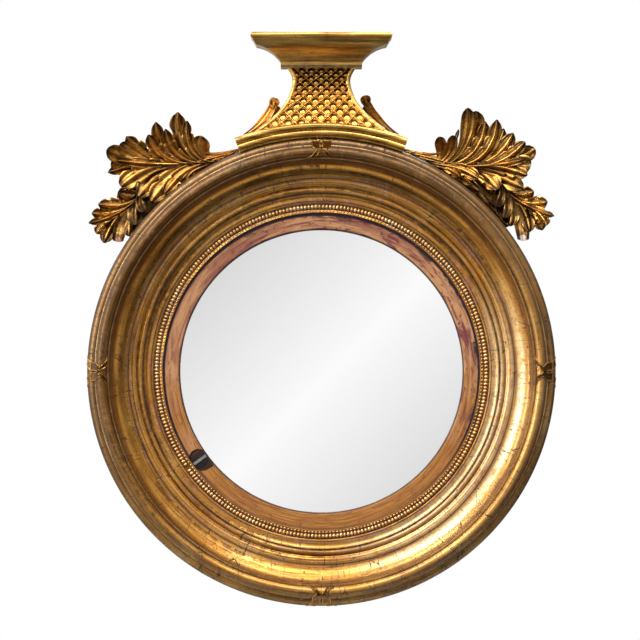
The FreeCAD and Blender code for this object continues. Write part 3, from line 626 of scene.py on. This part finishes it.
mouldings = {  # the CAD node, the finish and the section: radius and depth, and arcs as via, end and steps
    "reededRim": ("reeded_rim", rimGilt, [
        (362, 58), (362, 88.8), (362.8, 90.2), (365.8, 90.2), (366.5, 88.9), (366.8, 90.6), (375.2, 102, 383.3, 90, 16),
        (383.7, 87.6), (385.4, 89.6, 386.9, 87, 6), (387.4, 84), (400, 71.75, 390, 59.5, 18), (390, 58)]),
    "coveMoulding": ("cove_moulding", coveGilt, [(331, 34), (331, 52.5), (350.404, 61.47, 361.8, 87, 22), (361.8, 34)]),
    "steppedMoulding": ("stepped_moulding", stepGilt, [
        (292, 34), (292, 40.4), (292.6, 41.2), (295.8, 41.6), (296.5, 41.3), (301.2, 42.6, 304, 45.5, 8), (304.6, 45.3),
        (305, 44), (306, 44), (306, 47), (310.4, 50.5, 314.4, 48.9, 9), (314.7, 46.6), (315.4, 46.3), (316, 46.9),
        (318.6, 47.9), (319.2, 47.6), (319.8, 48.2), (323.2, 49.8), (324.5, 49.7), (324.5, 53.3), (325.2, 54),
        (330.2, 54), (330.8, 53.4), (330.8, 34)]),
    "sightMoulding": ("sight_moulding", sightGilt, [
        (273.4, 26), (273.4, 36.3), (272, 36.3), (272, 37.6), (272.5, 38.3), (273.4, 38.5), (274.6, 37.7), (277.2, 36.9),
        (277.8, 36.4), (277.8, 34.4), (288, 34.4), (288, 38.6), (288.6, 39.5), (289.6, 40), (291.2, 40), (291.8, 39.4),
        (291.8, 26)])}
for name, (node, finish, entries) in mouldings.items():
    points = []
    for entry in entries:
        arc = len(entry) == 5
        points += arcThrough(points[-1], entry[:2], entry[2:4], entry[4]) if arc else [entry]
    turnedRing(name, node, points, finish)

glassSizes = {"radius": 254, "rise": 29, "thick": 3, "edge": 25.7, "rings": 26}
s = glassSizes
bend = (s["radius"]**2 + s["rise"]**2) / (2 * s["rise"])
radii = [s["radius"] * n / s["rings"] for n in range(s["rings"] + 1)]
dome = [(r, s["edge"] + s["rise"] - bend + math.sqrt(bend**2 - r**2)) for r in radii]
plate = dome + [(r, d - s["thick"]) for r, d in reversed(dome)]
turnedRing("convexGlass", "convex_glass", plate, mirrorFinish, 192, "mirror_glass", 0.0)
print("mouldings and glass turned")


# beads: one button is set round a circle, a little unevenly, and one may be left out

g = beading = Recipe("beading", {"Count": int, "Radius": float, "Depth": float, "Button": tuple, "Lost angle": float,
    "Seed": int, "Finish": bpy.types.Material})
count, radius, depth, wide, lost, seed = g.given("Count", "Radius", "Depth", "Button", "Lost angle", "Seed")
pitch = math.tau / count
turn = (g.node("GeometryNodeInputIndex") + 0.5) * pitch
spot = g.joined(radius * turn.math("COSINE"), -depth, radius * turn.math("SINE"))
row = g.node("GeometryNodePoints", values={"Count": count, "Position": spot})
kept = abs(turn - lost).math("GREATER_THAN", pitch * 0.5)
uneven = g.node("FunctionNodeRandomValue", {"data_type": "FLOAT_VECTOR"},
    {0: (0.88, 0.85, 0.86), 1: (1.04, 1.05, 1.08), "Seed": seed})
button = g.node("GeometryNodeMeshUVSphere", values={"Segments": 8, "Rings": 6, "Radius": 0.5})
button = g.node("GeometryNodeSetShadeSmooth", values={"Geometry": button})
lean = g.node("FunctionNodeEulerToRotation", values={0: g.joined(0.0, -turn, 0.0)})
g.give(g.node("GeometryNodeInstanceOnPoints", values={
    "Points": row, "Selection": kept, "Instance": button, "Rotation": lean,
    "Scale": g.vectors("MULTIPLY", uneven, wide)}))


def beadRow(name, s, *nodes):
    sizes = {"Count": s["count"], "Radius": s["radius"] * mm, "Depth": s["depth"] * mm,
        "Button": [v * mm for v in s["button"]], "Lost angle": math.radians(s["lostAngle"]), "Seed": s["seed"]}
    settle(beading.run(name, meshOf(name, [(0, 0, 0)]), dict(sizes, Finish=beadGilt), 80), *nodes)


beadSizes = {"count": 288, "radius": 282.7, "depth": 37.0, "button": (8.8, 7.2, 6.1), "lostAngle": 215.5, "seed": 7}
beadRow("beadCourse", beadSizes, "bead_course")
pearlSizes = {"count": 288, "radius": 275.7, "depth": 37.5, "button": (3.2, 3.4, 4.4), "lostAngle": 400, "seed": 12}
beadRow("pearlRow", pearlSizes)
print("beads set")


# carved leaves: each lobe is a closed form with a toothed edge, a sunk vein and flutes that fan to its teeth

toothSwells = [(0, 0.5), (0.2, 0.66), (0.42, 0.98), (0.66, 1.1), (0.82, 1.0), (0.93, 0.74), (0.985, 0.46), (1.0, 0.28)]
lobeSizes = {
    "rows": 42, "spans": 12, "seat": 391.2, "web": 2.6, "ridge": 6.8, "flute": 2.3, "flutes": 1.06, "fan": 0.14,
    "lag": 1.17, "cutBefore": 0.012, "cutAfter": 0.075, "floor": 2.4, "wall": 7.5, "rollFrom": 0.64,
    "underside": 0.5, "leastThick": 1.0}


def carvedLobe(root, tip, half, bow, low, rise, notches=(0.56, 0.8), seed=0, curl=4.0, cup=0.0, swells=toothSwells,
        ridge=1.0, start=None, dim=0.0):
    s = lobeSizes
    chance = random.Random(seed)
    runX, runZ = tip[0] - root[0], tip[1] - root[1]
    length = math.hypot(runX, runZ)
    sideX, sideZ = -runZ / length * bow * 4 / 3, runX / length * bow * 4 / 3
    spine = [root] + [(root[0] + runX * n / 3 + sideX, root[1] + runZ * n / 3 + sideZ) for n in (1, 2)] + [tip]
    if start:  # the stem leaves the midrib along it, then bends out
        way = 0.42 * length if start[0] * runX + start[1] * runZ > 0 else -0.2 * length
        spine[1] = (root[0] + start[0] * way, root[1] + start[1] * way)
    cuts = [[(n + chance.uniform(-0.04, 0.04), chance.uniform(0.26, 0.42)) for n in notches] for side in (0, 1)]
    loops = []
    for i in range(s["rows"] + 1):
        t = i / s["rows"]
        share = smoothThrough(swells, t)
        back = low + rise * t**3
        top, under = [], []
        for j in range(-s["spans"], s["spans"] + 1):
            v = j / s["spans"]
            a = abs(v)
            bite = 0
            for place, deep in cuts[v > 0]:
                bite += deep * math.exp(-((t - place) / s["cutBefore" if t < place else "cutAfter"])**2)
            reach = half * share * (1.06 - bite * a**1.5)
            tt = t + s["fan"] * a**2 * min(t / 0.3, 1) * (1 - s["lag"] * t)
            u = 1 - tt
            x, z = (u**3 * p + 3 * u * u * tt * q + 3 * u * tt * tt * r + tt**3 * w for p, q, r, w in zip(*spine))
            goX, goZ = (u * u * (q - p) + 2 * u * tt * (r - q) + tt * tt * (w - r) for p, q, r, w in zip(*spine))
            go = math.hypot(goX, goZ)
            x, z = x - goZ / go * v * reach, z + goX / go * v * reach
            flute = math.cos(math.tau * (s["flutes"] * a))
            height = s["web"] + share * ridge * s["ridge"] * (1 - a**3)
            height += s["flute"] * ridge * flute * min(t * 5 + 0.3, 1) * share
            height = height * (1 - cup) + cup * (s["floor"] + s["wall"] * a**2.2 * share)
            roll = curl * max(t - s["rollFrom"], 0)**1.6 / 0.19 * (1 - 0.3 * a)
            ground = s["underside"] + 2.0 * a**3 * min(t * 2, 1) + roll * 0.8
            height = max((height + roll) * (1 - 0.5 * min(bite * 2, 1) * a), ground + s["leastThick"])
            # painted shade: darker in the flute hollows, at the root under other lobes, towards the tip, in the notches
            # and by dim; the underside gets 0.9
            hollow = (0.5 - 0.5 * flute)**2 * (1 - 0.45 * t) * (1 - cup) + 0.9 * math.exp(-(t / 0.26)**2)
            hollow += max(t - 0.84, 0) / 0.16 + min(bite * 1.6, 0.7) * a + dim
            around = math.hypot(x, z)
            if around < s["seat"]:  # the leaf seats on the side of the ring
                x, z = x * s["seat"] / around, z * s["seat"] / around
            top.append(at(x, back + height, z) + (min(hollow * 0.95, 1.0),))
            under.append(at(x, back + ground, z) + (0.9,))
        loops.append(top + under[::-1])
    return loops


def joinedLoops(name, parts, finish, sharp=46):
    points, faces = [], []
    for loops in parts:
        first = len(points)
        count = len(loops[0])
        for loop in loops:
            points += loop
        for i in range(len(loops) - 1):
            a, b = first + i * count, first + (i + 1) * count
            faces += [(a + n, a + (n + 1) % count, b + (n + 1) % count, b + n) for n in range(count)]
        for a in (first, first + (len(loops) - 1) * count):  # the ends are closed with quads across
            faces += [(a + n, a + n + 1, a + count - 2 - n, a + count - 1 - n) for n in range(count // 2 - 1)]
    mesh = meshOf(name, [p[:3] for p in points], faces)
    # the fourth value of each point, its painted shade, goes to the deep attribute
    marked(mesh, "deep", [p[3] for p in points])
    return pieceFrom(name, mesh, finish, sharp)


leafSizes = {
    "low": 2.8, "rise": 30.0, "layer": 4.2, "lead": 0.16, "rib": 0.62, "ribLift": 5.0, "lobe": 0.97, "lobeRise": 0.6,
    "behindDrop": 1.0, "behindRise": 7.0, "stemLow": 11.0, "stemRise": 2.0}
spoonSwells = [(0, 0.34), (0.3, 0.46), (0.55, 0.78), (0.75, 1.1), (0.9, 1.06), (0.97, 0.8), (1, 0.5)]
lobeForms = {  # widths along a lobe, its teeth, how hollow it is, whether it bends out of the midrib, and its painted shade
    "tooth": (toothSwells, (0.54, 0.77), 0.0, True, 0.0),
    "fan": ([(0, 0.5), (0.2, 0.7), (0.45, 0.98), (0.68, 1.08), (0.85, 1), (0.96, 0.7), (1, 0.4)], (), 0.35, False, 0.05),
    "shell": ([(0, 0.4), (0.3, 0.62), (0.6, 1.0), (0.8, 1.12), (0.94, 0.9), (1.0, 0.5)], (), 0.6, True, 0.0),
    "spoon": (spoonSwells, (), 0.45, True, 0.0),
    "bract": ([(0, 0.4), (0.25, 0.6), (0.5, 0.95), (0.75, 1.1), (0.9, 0.95), (1.0, 0.5)], (0.7,), 0.4, True, 0.12),
    "stump": ([(0, 0.6), (0.4, 0.9), (0.8, 0.9), (1.0, 0.72)], (), 0.8, True, 0.8),
    "dimmedTooth": (toothSwells, (0.62,), 0.1, True, 0.55),
    "shaded": ([(0, 0.6), (0.3, 0.9), (0.6, 1.1), (0.85, 1.0), (1.0, 0.6)], (), 0.3, True, 0.85)}
stemSwells = [(0, 0.5), (0.4, 1.0), (0.8, 0.9), (1.0, 0.5)]


def leafSpray(name, node, rib, half, seed, lobes, forms, behind, stems=()):
    s = leafSizes
    (x0, z0), (x1, z1), bow = rib
    alongX, alongZ = x1 - x0, z1 - z0
    length = math.hypot(alongX, alongZ)
    outX, outZ = -alongZ / length * 4 * bow, alongX / length * 4 * bow
    low = s["low"] + s["ribLift"]
    parts = [carvedLobe((x0, z0), (x1, z1), half * s["rib"], bow, low, s["rise"], (0.6, 0.82), seed, 3.0)]
    for n, (station, x, z, wide, sway) in enumerate(lobes):
        station = max(station - s["lead"], 0.0)
        bowed = station * (1 - station)
        root = (x0 + alongX * station + outX * bowed, z0 + alongZ * station + outZ * bowed)
        goX, goZ = alongX + outX * (1 - 2 * station), alongZ + outZ * (1 - 2 * station)
        start = (goX / math.hypot(goX, goZ), goZ / math.hypot(goX, goZ))
        low = s["low"] + s["rise"] * station**2 * 0.8 + s["layer"] * (n % 3)
        form = next((key for key, places in forms.items() if n in places), "tooth")
        swells, notches, cup, bends, dim = lobeForms[form]
        parts.append(carvedLobe(root, (x, z), wide * s["lobe"], sway, low, s["rise"] * s["lobeRise"], notches,
            seed + n + 1, cup=cup, swells=swells, start=start if bends else None, dim=dim))
    for n, (x0, z0, x1, z1, wide, sway) in enumerate(behind):  # lobes along the rim, under the others, darker with painted shade
        parts.append(carvedLobe((x0, z0), (x1, z1), wide, sway, s["low"] - s["behindDrop"], s["behindRise"], (),
            seed + 40 + n, curl=1.0, ridge=0.4, dim=0.85))
    for n, (x0, z0, x1, z1, wide, sway) in enumerate(stems):
        parts.append(carvedLobe((x0, z0), (x1, z1), wide, sway, s["stemLow"], s["stemRise"], (),
            seed + 60 + n, curl=0.0, ridge=0.6, swells=stemSwells, dim=-0.5))
    settle(joinedLoops(name, parts, leafGilt), node)


sprays = {  # rib: root, tip, bow; lobes: station on the midrib, tip x, tip z, half width, bow
    "leftUpperLeaf": {"node": "left_upper_leaf", "rib": ((-184, 361), (-352, 362), 5), "half": 15, "seed": 20,
        "lobes": [
            (0.00, -148, 377, 4.5, 1), (0.05, -205, 404, 14.6, 12), (0.12, -230, 430, 10.1, 19.5),
            (0.15, -246, 445, 16.0, 24.5), (0.32, -284, 428, 12.6, 22.5), (0.38, -297, 406, 13.4, 15.5),
            (0.50, -335, 403, 14.6, 12), (0.60, -345, 391, 12.3, 8), (0.70, -368, 380, 13.4, 4),
            (0.80, -361, 351, 14.6, -2.5), (0.68, -366, 341, 9, -4.5), (0.55, -344, 317, 15.7, -10),
            (0.35, -313, 300, 15.7, -14.5), (0.12, -291, 292, 15.7, -15), (0.10, -268, 306, 12.0, -11),
            (0.05, -243, 326, 9.0, -6), (0.10, -228, 413, 7.0, 14), (0.26, -267, 416, 10.5, 20)],
        "forms": {"fan": (1,), "shell": (7, 8, 9), "bract": (11, 12, 13, 14), "dimmedTooth": (15,)},
        "behind": [(-212, 352, -272, 309, 11, 3), (-246, 344, -310, 292, 15, 3), (-190, 360, -226, 334, 9, 2)],
        "stems": [(-236, 354, -141, 379, 5.0, 0.5), (-206, 376, -142, 382, 3.2, -5)]},
    "leftLowerLeaf": {"node": "left_lower_leaf", "rib": ((-302, 312), (-399, 254.5), 10), "half": 13, "seed": 50,
        "lobes": [
            (0.05, -348, 306, 12.3, 9), (0.15, -383, 287, 13.4, 11), (0.40, -394, 271, 11.2, 6),
            (0.65, -386, 236, 11.2, -4), (0.45, -373, 220, 12.3, -7.5), (0.25, -349, 222, 12.3, -9),
            (0.00, -331, 232, 15.7, -7), (0.00, -318, 252, 14.0, -6), (0.00, -300, 276, 13.0, -4)],
        "forms": {"dimmedTooth": (4, 6), "stump": (5,), "shaded": (7, 8)},
        "behind": [(-264, 322, -314, 266, 14, 5), (-292, 302, -336, 234, 15, 5), (-296, 322, -352, 300, 14, 4)]},
    "rightUpperLeaf": {"node": "right_upper_leaf", "rib": ((187, 358), (350, 364), -8), "half": 15, "seed": 70,
        "lobes": [
            (0.00, 153, 376, 4.5, -1), (0.03, 200, 402, 9.0, -12.5), (0.08, 225, 405, 8.4, -14),
            (0.20, 265, 447, 15, -24), (0.24, 281, 429, 13.4, -26), (0.38, 301, 432, 13.0, -25),
            (0.44, 313, 417, 11.2, -20.5), (0.50, 329, 409, 13.6, -15), (0.66, 349, 394, 12.3, -8.5),
            (0.75, 367, 381, 12.3, -3.5), (0.85, 359, 352, 14.6, 3), (0.65, 353, 336, 13.4, 5.5),
            (0.42, 303, 313, 14.6, 11), (0.30, 346, 315, 14.6, 7.5), (0.15, 269, 331, 10.5, 8),
            (0.10, 259, 321, 9.5, 7), (0.05, 238, 334, 8.0, 5), (0.19, 251, 452, 10.5, -21), (0.12, 236, 416, 4.0, -8)],
        "forms": {"shell": (1, 2, 9, 10), "spoon": (3, 17), "bract": (12, 13, 14, 15, 16)},
        "behind": [(212, 352, 272, 309, 11, -3), (250, 338, 291, 284, 15, -3), (166, 372, 212, 342, 9, -2),
            (246, 348, 306, 294, 14, 4)],
        "stems": [(236, 354, 141, 379, 5.0, -0.5), (208, 376, 142, 382, 3.2, 5)]},
    "rightLowerLeaf": {"node": "right_lower_leaf", "rib": ((300, 326), (399, 266.5), -8), "half": 13, "seed": 100,
        "lobes": [
            (0.25, 365, 309, 13.4, -8.5), (0.45, 388, 291, 12.3, -6), (0.75, 386, 250, 11.2, 5),
            (0.60, 379, 242, 11.2, 6.5), (0.40, 357, 239, 12.3, 9.5), (0.20, 346, 224, 13.4, 12),
            (0.02, 324, 249, 16.8, 9), (0.00, 312, 264, 14.0, 6), (0.00, 298, 284, 12.0, 4)],
        "forms": {"dimmedTooth": (4, 6), "stump": (5,), "shaded": (7, 8)},
        "behind": [(264, 322, 314, 266, 14, -5), (292, 302, 323, 250, 14, -5), (296, 326, 350, 304, 14, -4)]}}
for name, values in sprays.items():
    leafSpray(name, **values)
print("leaves carved")


# pedestal: lattice bars and border reeds follow the hollow front of the neck

neckSizes = {
    "sides": [(409.7, 113), (424, 94), (440, 77), (463, 60), (498, 49.5), (519.5, 58)],
    "front": ((84, 407.7), (62, 464.6), (58, 519.5)), "saddle": 425, "border": 9.0, "top": 519.0}
neckLine = [neckSizes["front"][0]] + arcThrough(*neckSizes["front"], 40)
neckHeights = [(z, d) for d, z in neckLine]


def neckHalf(z):
    return smoothThrough(neckSizes["sides"], z)


def neckDepth(z):
    return smoothThrough(neckHeights, z)


g = diaper = Recipe("diaper", {"Cell wide": tuple, "Cell tall": tuple, "Heights": tuple, "Bar": float, "Boss": float,
    "Pit": float, "Ground": float, "Finish": bpy.types.Material})
ground, barHeight, bossHeight, pit, plain = g.given("Geometry", "Bar", "Boss", "Pit", "Ground")
here = g.node("GeometryNodeInputPosition")
x, y, z = g.split(here)
wideLow, wideHigh = g.split(g.given("Cell wide"))[:2]
tallLow, tallHigh = g.split(g.given("Cell tall"))[:2]
lowest, highest = g.split(g.given("Heights"))[:2]
share = (z - lowest) / (highest - lowest)
wide = wideLow + (wideHigh - wideLow) * share
tall = tallLow + (tallHigh - tallLow) * share
up = (tall / tallLow).math("LOGARITHM", math.e) * (highest - lowest) / (tallHigh - tallLow)
out = x / wide
first, second = (out + up).math("FRACT") - 0.5, (out - up).math("FRACT") - 0.5
nearBar = (0.5 - abs(first).atLeast(abs(second))) / 0.1
bar = (1 - nearBar * nearBar).atLeast(0.0).math("SQRT")
aside, above = (first + second) * 0.5, (first - second) * 0.5
bossAside, bossAbove = aside / 0.21, (above + 0.13) / 0.225
swell = bossAside * bossAside + bossAbove * bossAbove
boss = (1 - swell * 0.8).atLeast(0.0).math("SQRT")
fromArch = (swell - 1.6) / 0.62
arch = (-fromArch * fromArch).math("EXPONENT") * above.between(-0.16, 0.04)
raised = g.named("raised")
carved = (bar * barHeight).atLeast(boss * bossHeight) - arch * (1 - bar) * pit + plain
hewn = g.noise(here, 160, 3, 0.6) - 0.5
carved = (carved + hewn * 0.0008) * raised
# painted shade: darker crescents above the bosses, darker ground round the bosses, and darker upper rows where the
# cornice casts its shadow, less on the bars
high = share.between(0.5, 0.8)
dark = (arch * 1.3 + (1 - boss) * high * 1.1 + high * 0.2) * (1 - bar * 0.9) * raised
moved = g.node("GeometryNodeSetPosition", values={"Geometry": ground, "Offset": g.joined(0.0, -carved, 0.0)})
g.give(g.node("GeometryNodeStoreNamedAttribute", {"data_type": "FLOAT", "domain": "POINT"},
    {"Geometry": moved, "Name": "deep", "Value": dark}))

panelSizes = {
    "columns": 250, "rows": 120, "low": 426, "high": 514, "thick": 1.5, "bottom": 425.0, "under": 1.2, "spare": 8,
    "wide": (22.5, 16.5), "tall": (20.5, 12.5), "bar": 4.2, "boss": 1.4, "pit": 1.4, "ground": 1.5}
s = panelSizes
columns, rows = s["columns"], s["rows"]
footReach = neckHalf(s["bottom"]) - neckSizes["border"] + s["spare"]
points, faces = [], []
for j in range(rows + 1):  # the front of the panel, between the reeds, the saddle and the cornice
    for i in range(columns + 1):
        across = 2 * i / columns - 1
        foot = math.sqrt((neckSizes["saddle"] - 1)**2 - (across * footReach)**2)
        z = foot + (neckSizes["top"] - foot) * j / rows
        points.append(at(across * (neckHalf(z) - neckSizes["border"] + s["under"]), neckDepth(z) + 0.1, z))
width, under = columns + 1, len(points)
last = rows * width
faces += [(a, a + 1, a + 1 + width, a + width) for j in range(rows) for a in range(j * width, j * width + columns)]
edge = [points[j * width + i] for j in range(rows + 1) for i in (0, columns)]
points += [(x, y + s["thick"] * mm, z) for x, y, z in edge]
for j in range(rows):  # its back, inside the neck, and the two long edges
    a, b = under + 2 * j, j * width
    faces += [(a, a + 2, a + 3, a + 1), (b, b + width, a + 2, a), (b + width - 1, a + 1, a + 3, b + 2 * width - 1)]
faces += [tuple(range(width)) + (under + 1, under)]
faces += [tuple(range(last, last + width)) + (under + 2 * rows + 1, under + 2 * rows)]
base = meshOf("panelBase", points, faces)
marked(base, "raised", [1.0] * under + [0.0] * (len(points) - under))
panel = diaper.run("latticePanel", base, {
    "Cell wide": at(s["wide"][0], -s["wide"][1], 0), "Cell tall": at(s["tall"][0], -s["tall"][1], 0),
    "Heights": at(s["low"], -s["high"], 0), "Bar": s["bar"] * mm, "Boss": s["boss"] * mm, "Pit": s["pit"] * mm,
    "Ground": s["ground"] * mm, "Finish": panelGilt}, 60)
settle(panel, "pedestal_lattice")

g = rodding = Recipe("rodding", {"Radius": float, "Sides": int, "Finish": bpy.types.Material})
lines, radius, sides = g.given("Geometry", "Radius", "Sides")
line = g.node("GeometryNodeMeshToCurve", values={0: lines})
circle = g.node("GeometryNodeCurvePrimitiveCircle", {"mode": "RADIUS"}, {"Resolution": sides, "Radius": radius})
g.give(g.node("GeometryNodeCurveToMesh", values={"Curve": line, "Profile Curve": circle, "Fill Caps": True}))

reedSizes = {"low": 411.5, "high": 518.5, "steps": 36, "radius": 4.1, "sides": 14, "sunk": 0.4, "clear": 3}
s = reedSizes
points, edges = [], []
for side in (-1, 1):
    first = len(points)
    for n in range(s["steps"] + 1):
        z = s["low"] + (s["high"] - s["low"]) * n / s["steps"]
        x = neckHalf(z) - neckSizes["border"] / 2
        if math.hypot(x, z) > neckSizes["saddle"] - s["clear"]:
            points.append(at(side * x, neckDepth(z) - s["sunk"], z))
    edges += [(n, n + 1) for n in range(first, len(points) - 1)]
reeds = rodding.run("borderReeds", meshOf("borderReeds", points, edges=edges), {
    "Radius": s["radius"] * mm, "Sides": s["sides"], "Finish": boardGilt}, 50)
settle(reeds, "pedestal_border")
print("pedestal panel carved")


# crossed ribbons over the rim: two halves of a skin that follows the crest and the outer reed

tieSizes = {
    "inner": 29.0, "waist": 9.5, "outer": 27.0, "notch": 13.0, "deep": 0.42, "cord": 1.3, "body": 0.5, "far": 400.8,
    "middle": 0.42, "radius": 385.0, "under": -0.7, "columns": 20,
    "crest": (375.2, 93.4, 8.7, range(188, 20, -8)), "reed": (389.2, 71.75, 10.9, range(66, -13, -6))}
overRim = []  # radius and depth along the ribbon: an arc over the crest, then one over the outer reed
for r, d, reach, turns in (tieSizes["crest"], tieSizes["reed"]):
    overRim += [(r + reach * math.cos(math.radians(a)), d + reach * math.sin(math.radians(a))) for a in turns]


def ribbonTie(name, node, angle, seed):
    s = tieSizes
    skew = random.Random(seed).uniform(-2.0, 2.0)
    parts = []
    count = len(overRim) - 1
    for side in (-1, 1):
        loops = []
        for i in range(count * 2 + 1):
            t = i / (count * 2)
            k = min(int(t * count), count - 1)
            share = t * count - k
            r, d = (p + (q - p) * share for p, q in zip(overRim[k], overRim[k + 1]))
            before, after = overRim[max(k - 1, 0)], overRim[min(k + 2, count)]
            tangent = math.hypot(after[0] - before[0], after[1] - before[1])
            outR, outD = -(after[1] - before[1]) / tangent, (after[0] - before[0]) / tangent
            end, far, power = ("inner", s["middle"], 1.15) if t < s["middle"] else ("outer", 1 - s["middle"], 0.8)
            edge = s["waist"] + (s[end] - s["waist"]) * (abs(t - s["middle"]) / far) ** power
            notch = s["notch"] * max(1 - min(t, 1 - t) / s["deep"], 0)
            worn = 1 - 0.5 * min(max(t - 0.5, 0) / 0.2, 1)  # it is rubbed flat on the outer reed
            top, under = [], []
            for j in range(s["columns"] + 1):
                u = notch + (edge - notch) * (j / s["columns"])
                fromEdge = min(edge - u, (u - notch) if notch > 0 else 99)
                cord = math.exp(-((fromEdge - 1.3) / 0.9)**2)
                lift = (s["body"] + s["cord"] * cord + 0.14 * math.sin(u * 1.3 + side * t * 17)) * worn
                lift = lift if fromEdge > 0.2 else 0.1
                turn = math.radians(angle) + (side * u + skew * (t - 0.5)) / s["radius"]
                # painted shade: darker between the raised cords and underneath, lighter on the cords, and less on the
                # outer reed
                for row, h, dull in ((top, lift, (0.9 - cord * 0.7) * (0.35 + 0.65 * worn)), (under, s["under"], 0.8)):
                    x, z = onCircle(min(r + outR * h, s["far"]), turn)
                    row.append(at(x, d + outD * h, z) + (dull,))
            loops.append(top + under[::-1])
        parts.append(loops)
    settle(joinedLoops(name, parts, tieGilt, 50), node)


for n, side in enumerate(("Right", "Top", "Left", "Bottom")):
    ribbonTie("ribbonTie" + side, "ribbon_tie_" + side.lower(), 90 * n, n + 1)
print("ribbons tied")


# side leaves of the pedestal: a stem that climbs to a curled tip, and a leaf behind it, darker with painted shade

stalkSwells = [(0, 0.3), (0.25, 0.72), (0.5, 0.92), (0.72, 0.84), (0.86, 0.8), (1.0, 0.6)]
knobSwells = [(0, 0.5), (0.3, 0.86), (0.55, 1.0), (0.8, 0.92), (0.94, 0.66), (1.0, 0.42)]


def sideLeaf(name, node, side, root, tipX, tipZ, seed):
    settle(joinedLoops(name, [
        carvedLobe(root, (tipX + side, tipZ - 4), 7.8, side * 8, 15.0, 10, (), seed, 3.0, 0.65, stalkSwells),
        carvedLobe((tipX + side * 4, tipZ - 17), (tipX - side, tipZ + 2.5), 8.6, 0, 23.0, 4, (), seed + 1, 2.0, 0.3,
            knobSwells, dim=-0.4),
        carvedLobe((side * 100, 424), (side * 72, 455), 7.0, 0, 12.0, 6, (0.3, 0.48, 0.64, 0.8), seed + 2, 1.0, dim=0.4),
        carvedLobe((side * 128, 406), (side * 84, 440), 6.5, side * 4, 12.0, 2, (), seed + 3, 0.0, dim=0.1)],
        sideGilt), node)


sideLeaf("leftBracket", "left_bracket", -1, (-133, 405.5), -80, 467, 5)
sideLeaf("rightBracket", "right_bracket", 1, (132, 406), 75, 471, 15)
print("side leaves carved")


# screws and pins on the back: a small head is set on each marked point and faces the wall

studForms = {  # radius and height of each ring of points, 1 across
    "screw": [(0.0, 0.2), (0.3, 0.17), (0.44, 0.09), (0.5, -0.1)],
    "pin": [(0.0, 0.12), (0.34, 0.1), (0.5, -0.1)]}
studSizes = {"sides": 10, "slot": 0.13, "uneven": 0.08, "seed": 3}


def studOf(name, kind):
    rings = studForms[kind]
    sides = studSizes["sides"]
    points = [(0, -rings[0][1], 0)]
    for r, d in rings[1:]:
        for n in range(sides):
            slot = studSizes["slot"] if kind == "screw" and n % 5 == 0 and r < 0.4 else 0.0
            x, z = onCircle(r, math.tau * n / sides)
            points.append((x, -d + slot, z))
    faces = [(0, 1 + n, 1 + (n + 1) % sides) for n in range(sides)]
    for i in range(len(rings) - 2):
        a, b = 1 + i * sides, 1 + (i + 1) * sides
        faces += [(a + n, b + n, b + (n + 1) % sides, a + (n + 1) % sides) for n in range(sides)]
    faces.append(tuple(reversed(range(len(points) - sides, len(points)))))
    return linked(name, meshOf(name, points, faces))


g = studding = Recipe("studding", {
    "Form": bpy.types.Object, "Unevenness": float, "Seed": int, "Finish": bpy.types.Material})
marks, form, uneven, seed = g.given("Geometry", "Form", "Unevenness", "Seed")
form = g.node("GeometryNodeObjectInfo", values={"Object": form}, output=4)
vary = g.node("FunctionNodeRandomValue", {"data_type": "FLOAT"}, {2: -1.0, 3: 1.0, "Seed": seed}, 1)
spread = g.named("size") * (vary * uneven + 1)
lean = g.node("FunctionNodeEulerToRotation", values={0: g.named("turn", "FLOAT_VECTOR")})
g.give(g.node("GeometryNodeInstanceOnPoints", values={
    "Points": marks, "Instance": form, "Rotation": lean, "Scale": g.joined(spread, spread, spread)}))


def studs(name, kind, size, depth, marks, slot):  # marks: x, z and the turn of the head
    s = studSizes
    base = meshOf(name, [at(x, depth, z) for x, z, turn in marks])
    marked(base, "size", [width * mm for width in size])
    marked(base, "turn", [value for x, z, turn in marks for value in (math.pi, turn, 0)], "FLOAT_VECTOR")
    form = studOf(name + "Form", kind)
    sizes = {"Form": form, "Unevenness": s["uneven"], "Seed": s["seed"], "Finish": screwSteel}
    made = studding.run(name, base, sizes, 70)
    bpy.data.objects.remove(form)
    settle(made, slot=slot)


fixingSizes = {
    "spokes": (-47, -32, 32, 47), "radii": (355, 372, 398, 412, 428), "heights": (356, 376, 412, 450, 488),
    "screw": 7.6, "middleScrew": 8.4, "pins": 16, "pinRadius": 262.5, "pin": 4.4}
s = fixingSizes
screws = [onCircle(r, math.radians(90 - angle)) + (0.7 * r,) for angle in s["spokes"] for r in s["radii"]]
widths = [s["screw"]] * len(screws) + [s["middleScrew"]] * len(s["heights"])
studs("strapScrews", "screw", widths, 1.9, screws + [(0, z, 0.3 * z) for z in s["heights"]], "steel_clip")
pins = [onCircle(s["pinRadius"], n * math.tau / s["pins"] + 0.1) + (0,) for n in range(s["pins"])]
studs("boardPins", "pin", [s["pin"]] * s["pins"], 2.1, pins, "steel_clip")
print("fixings set")


# what is carried over as it is takes its finish in its own slot

carried = [
    (ringPine, "back_ring"), (slipFinish, "slip"), (steel, "slip_clip"), (blockPine, "glass_blocks"),
    (boardPine, "backboard"), (boardGilt, "pedestal_plate", "pedestal_cornice", "pedestal_saddle"),
    (panelGilt, "pedestal_neck"), (screwSteel, "hanger_screws"),
    (iron, "pedestal_strap", "left_upper_strap", "left_lower_strap", "right_upper_strap", "right_lower_strap"),
    (brass, "left_hanger_strap", "right_hanger_strap", "left_hanger_ring", "right_hanger_ring")]
for finish, *nodes in carried:
    for node in nodes:
        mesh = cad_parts[node].data
        if mesh.materials:
            mesh.materials[0] = finish
        else:
            mesh.materials.append(finish)
print("finishes laid on")
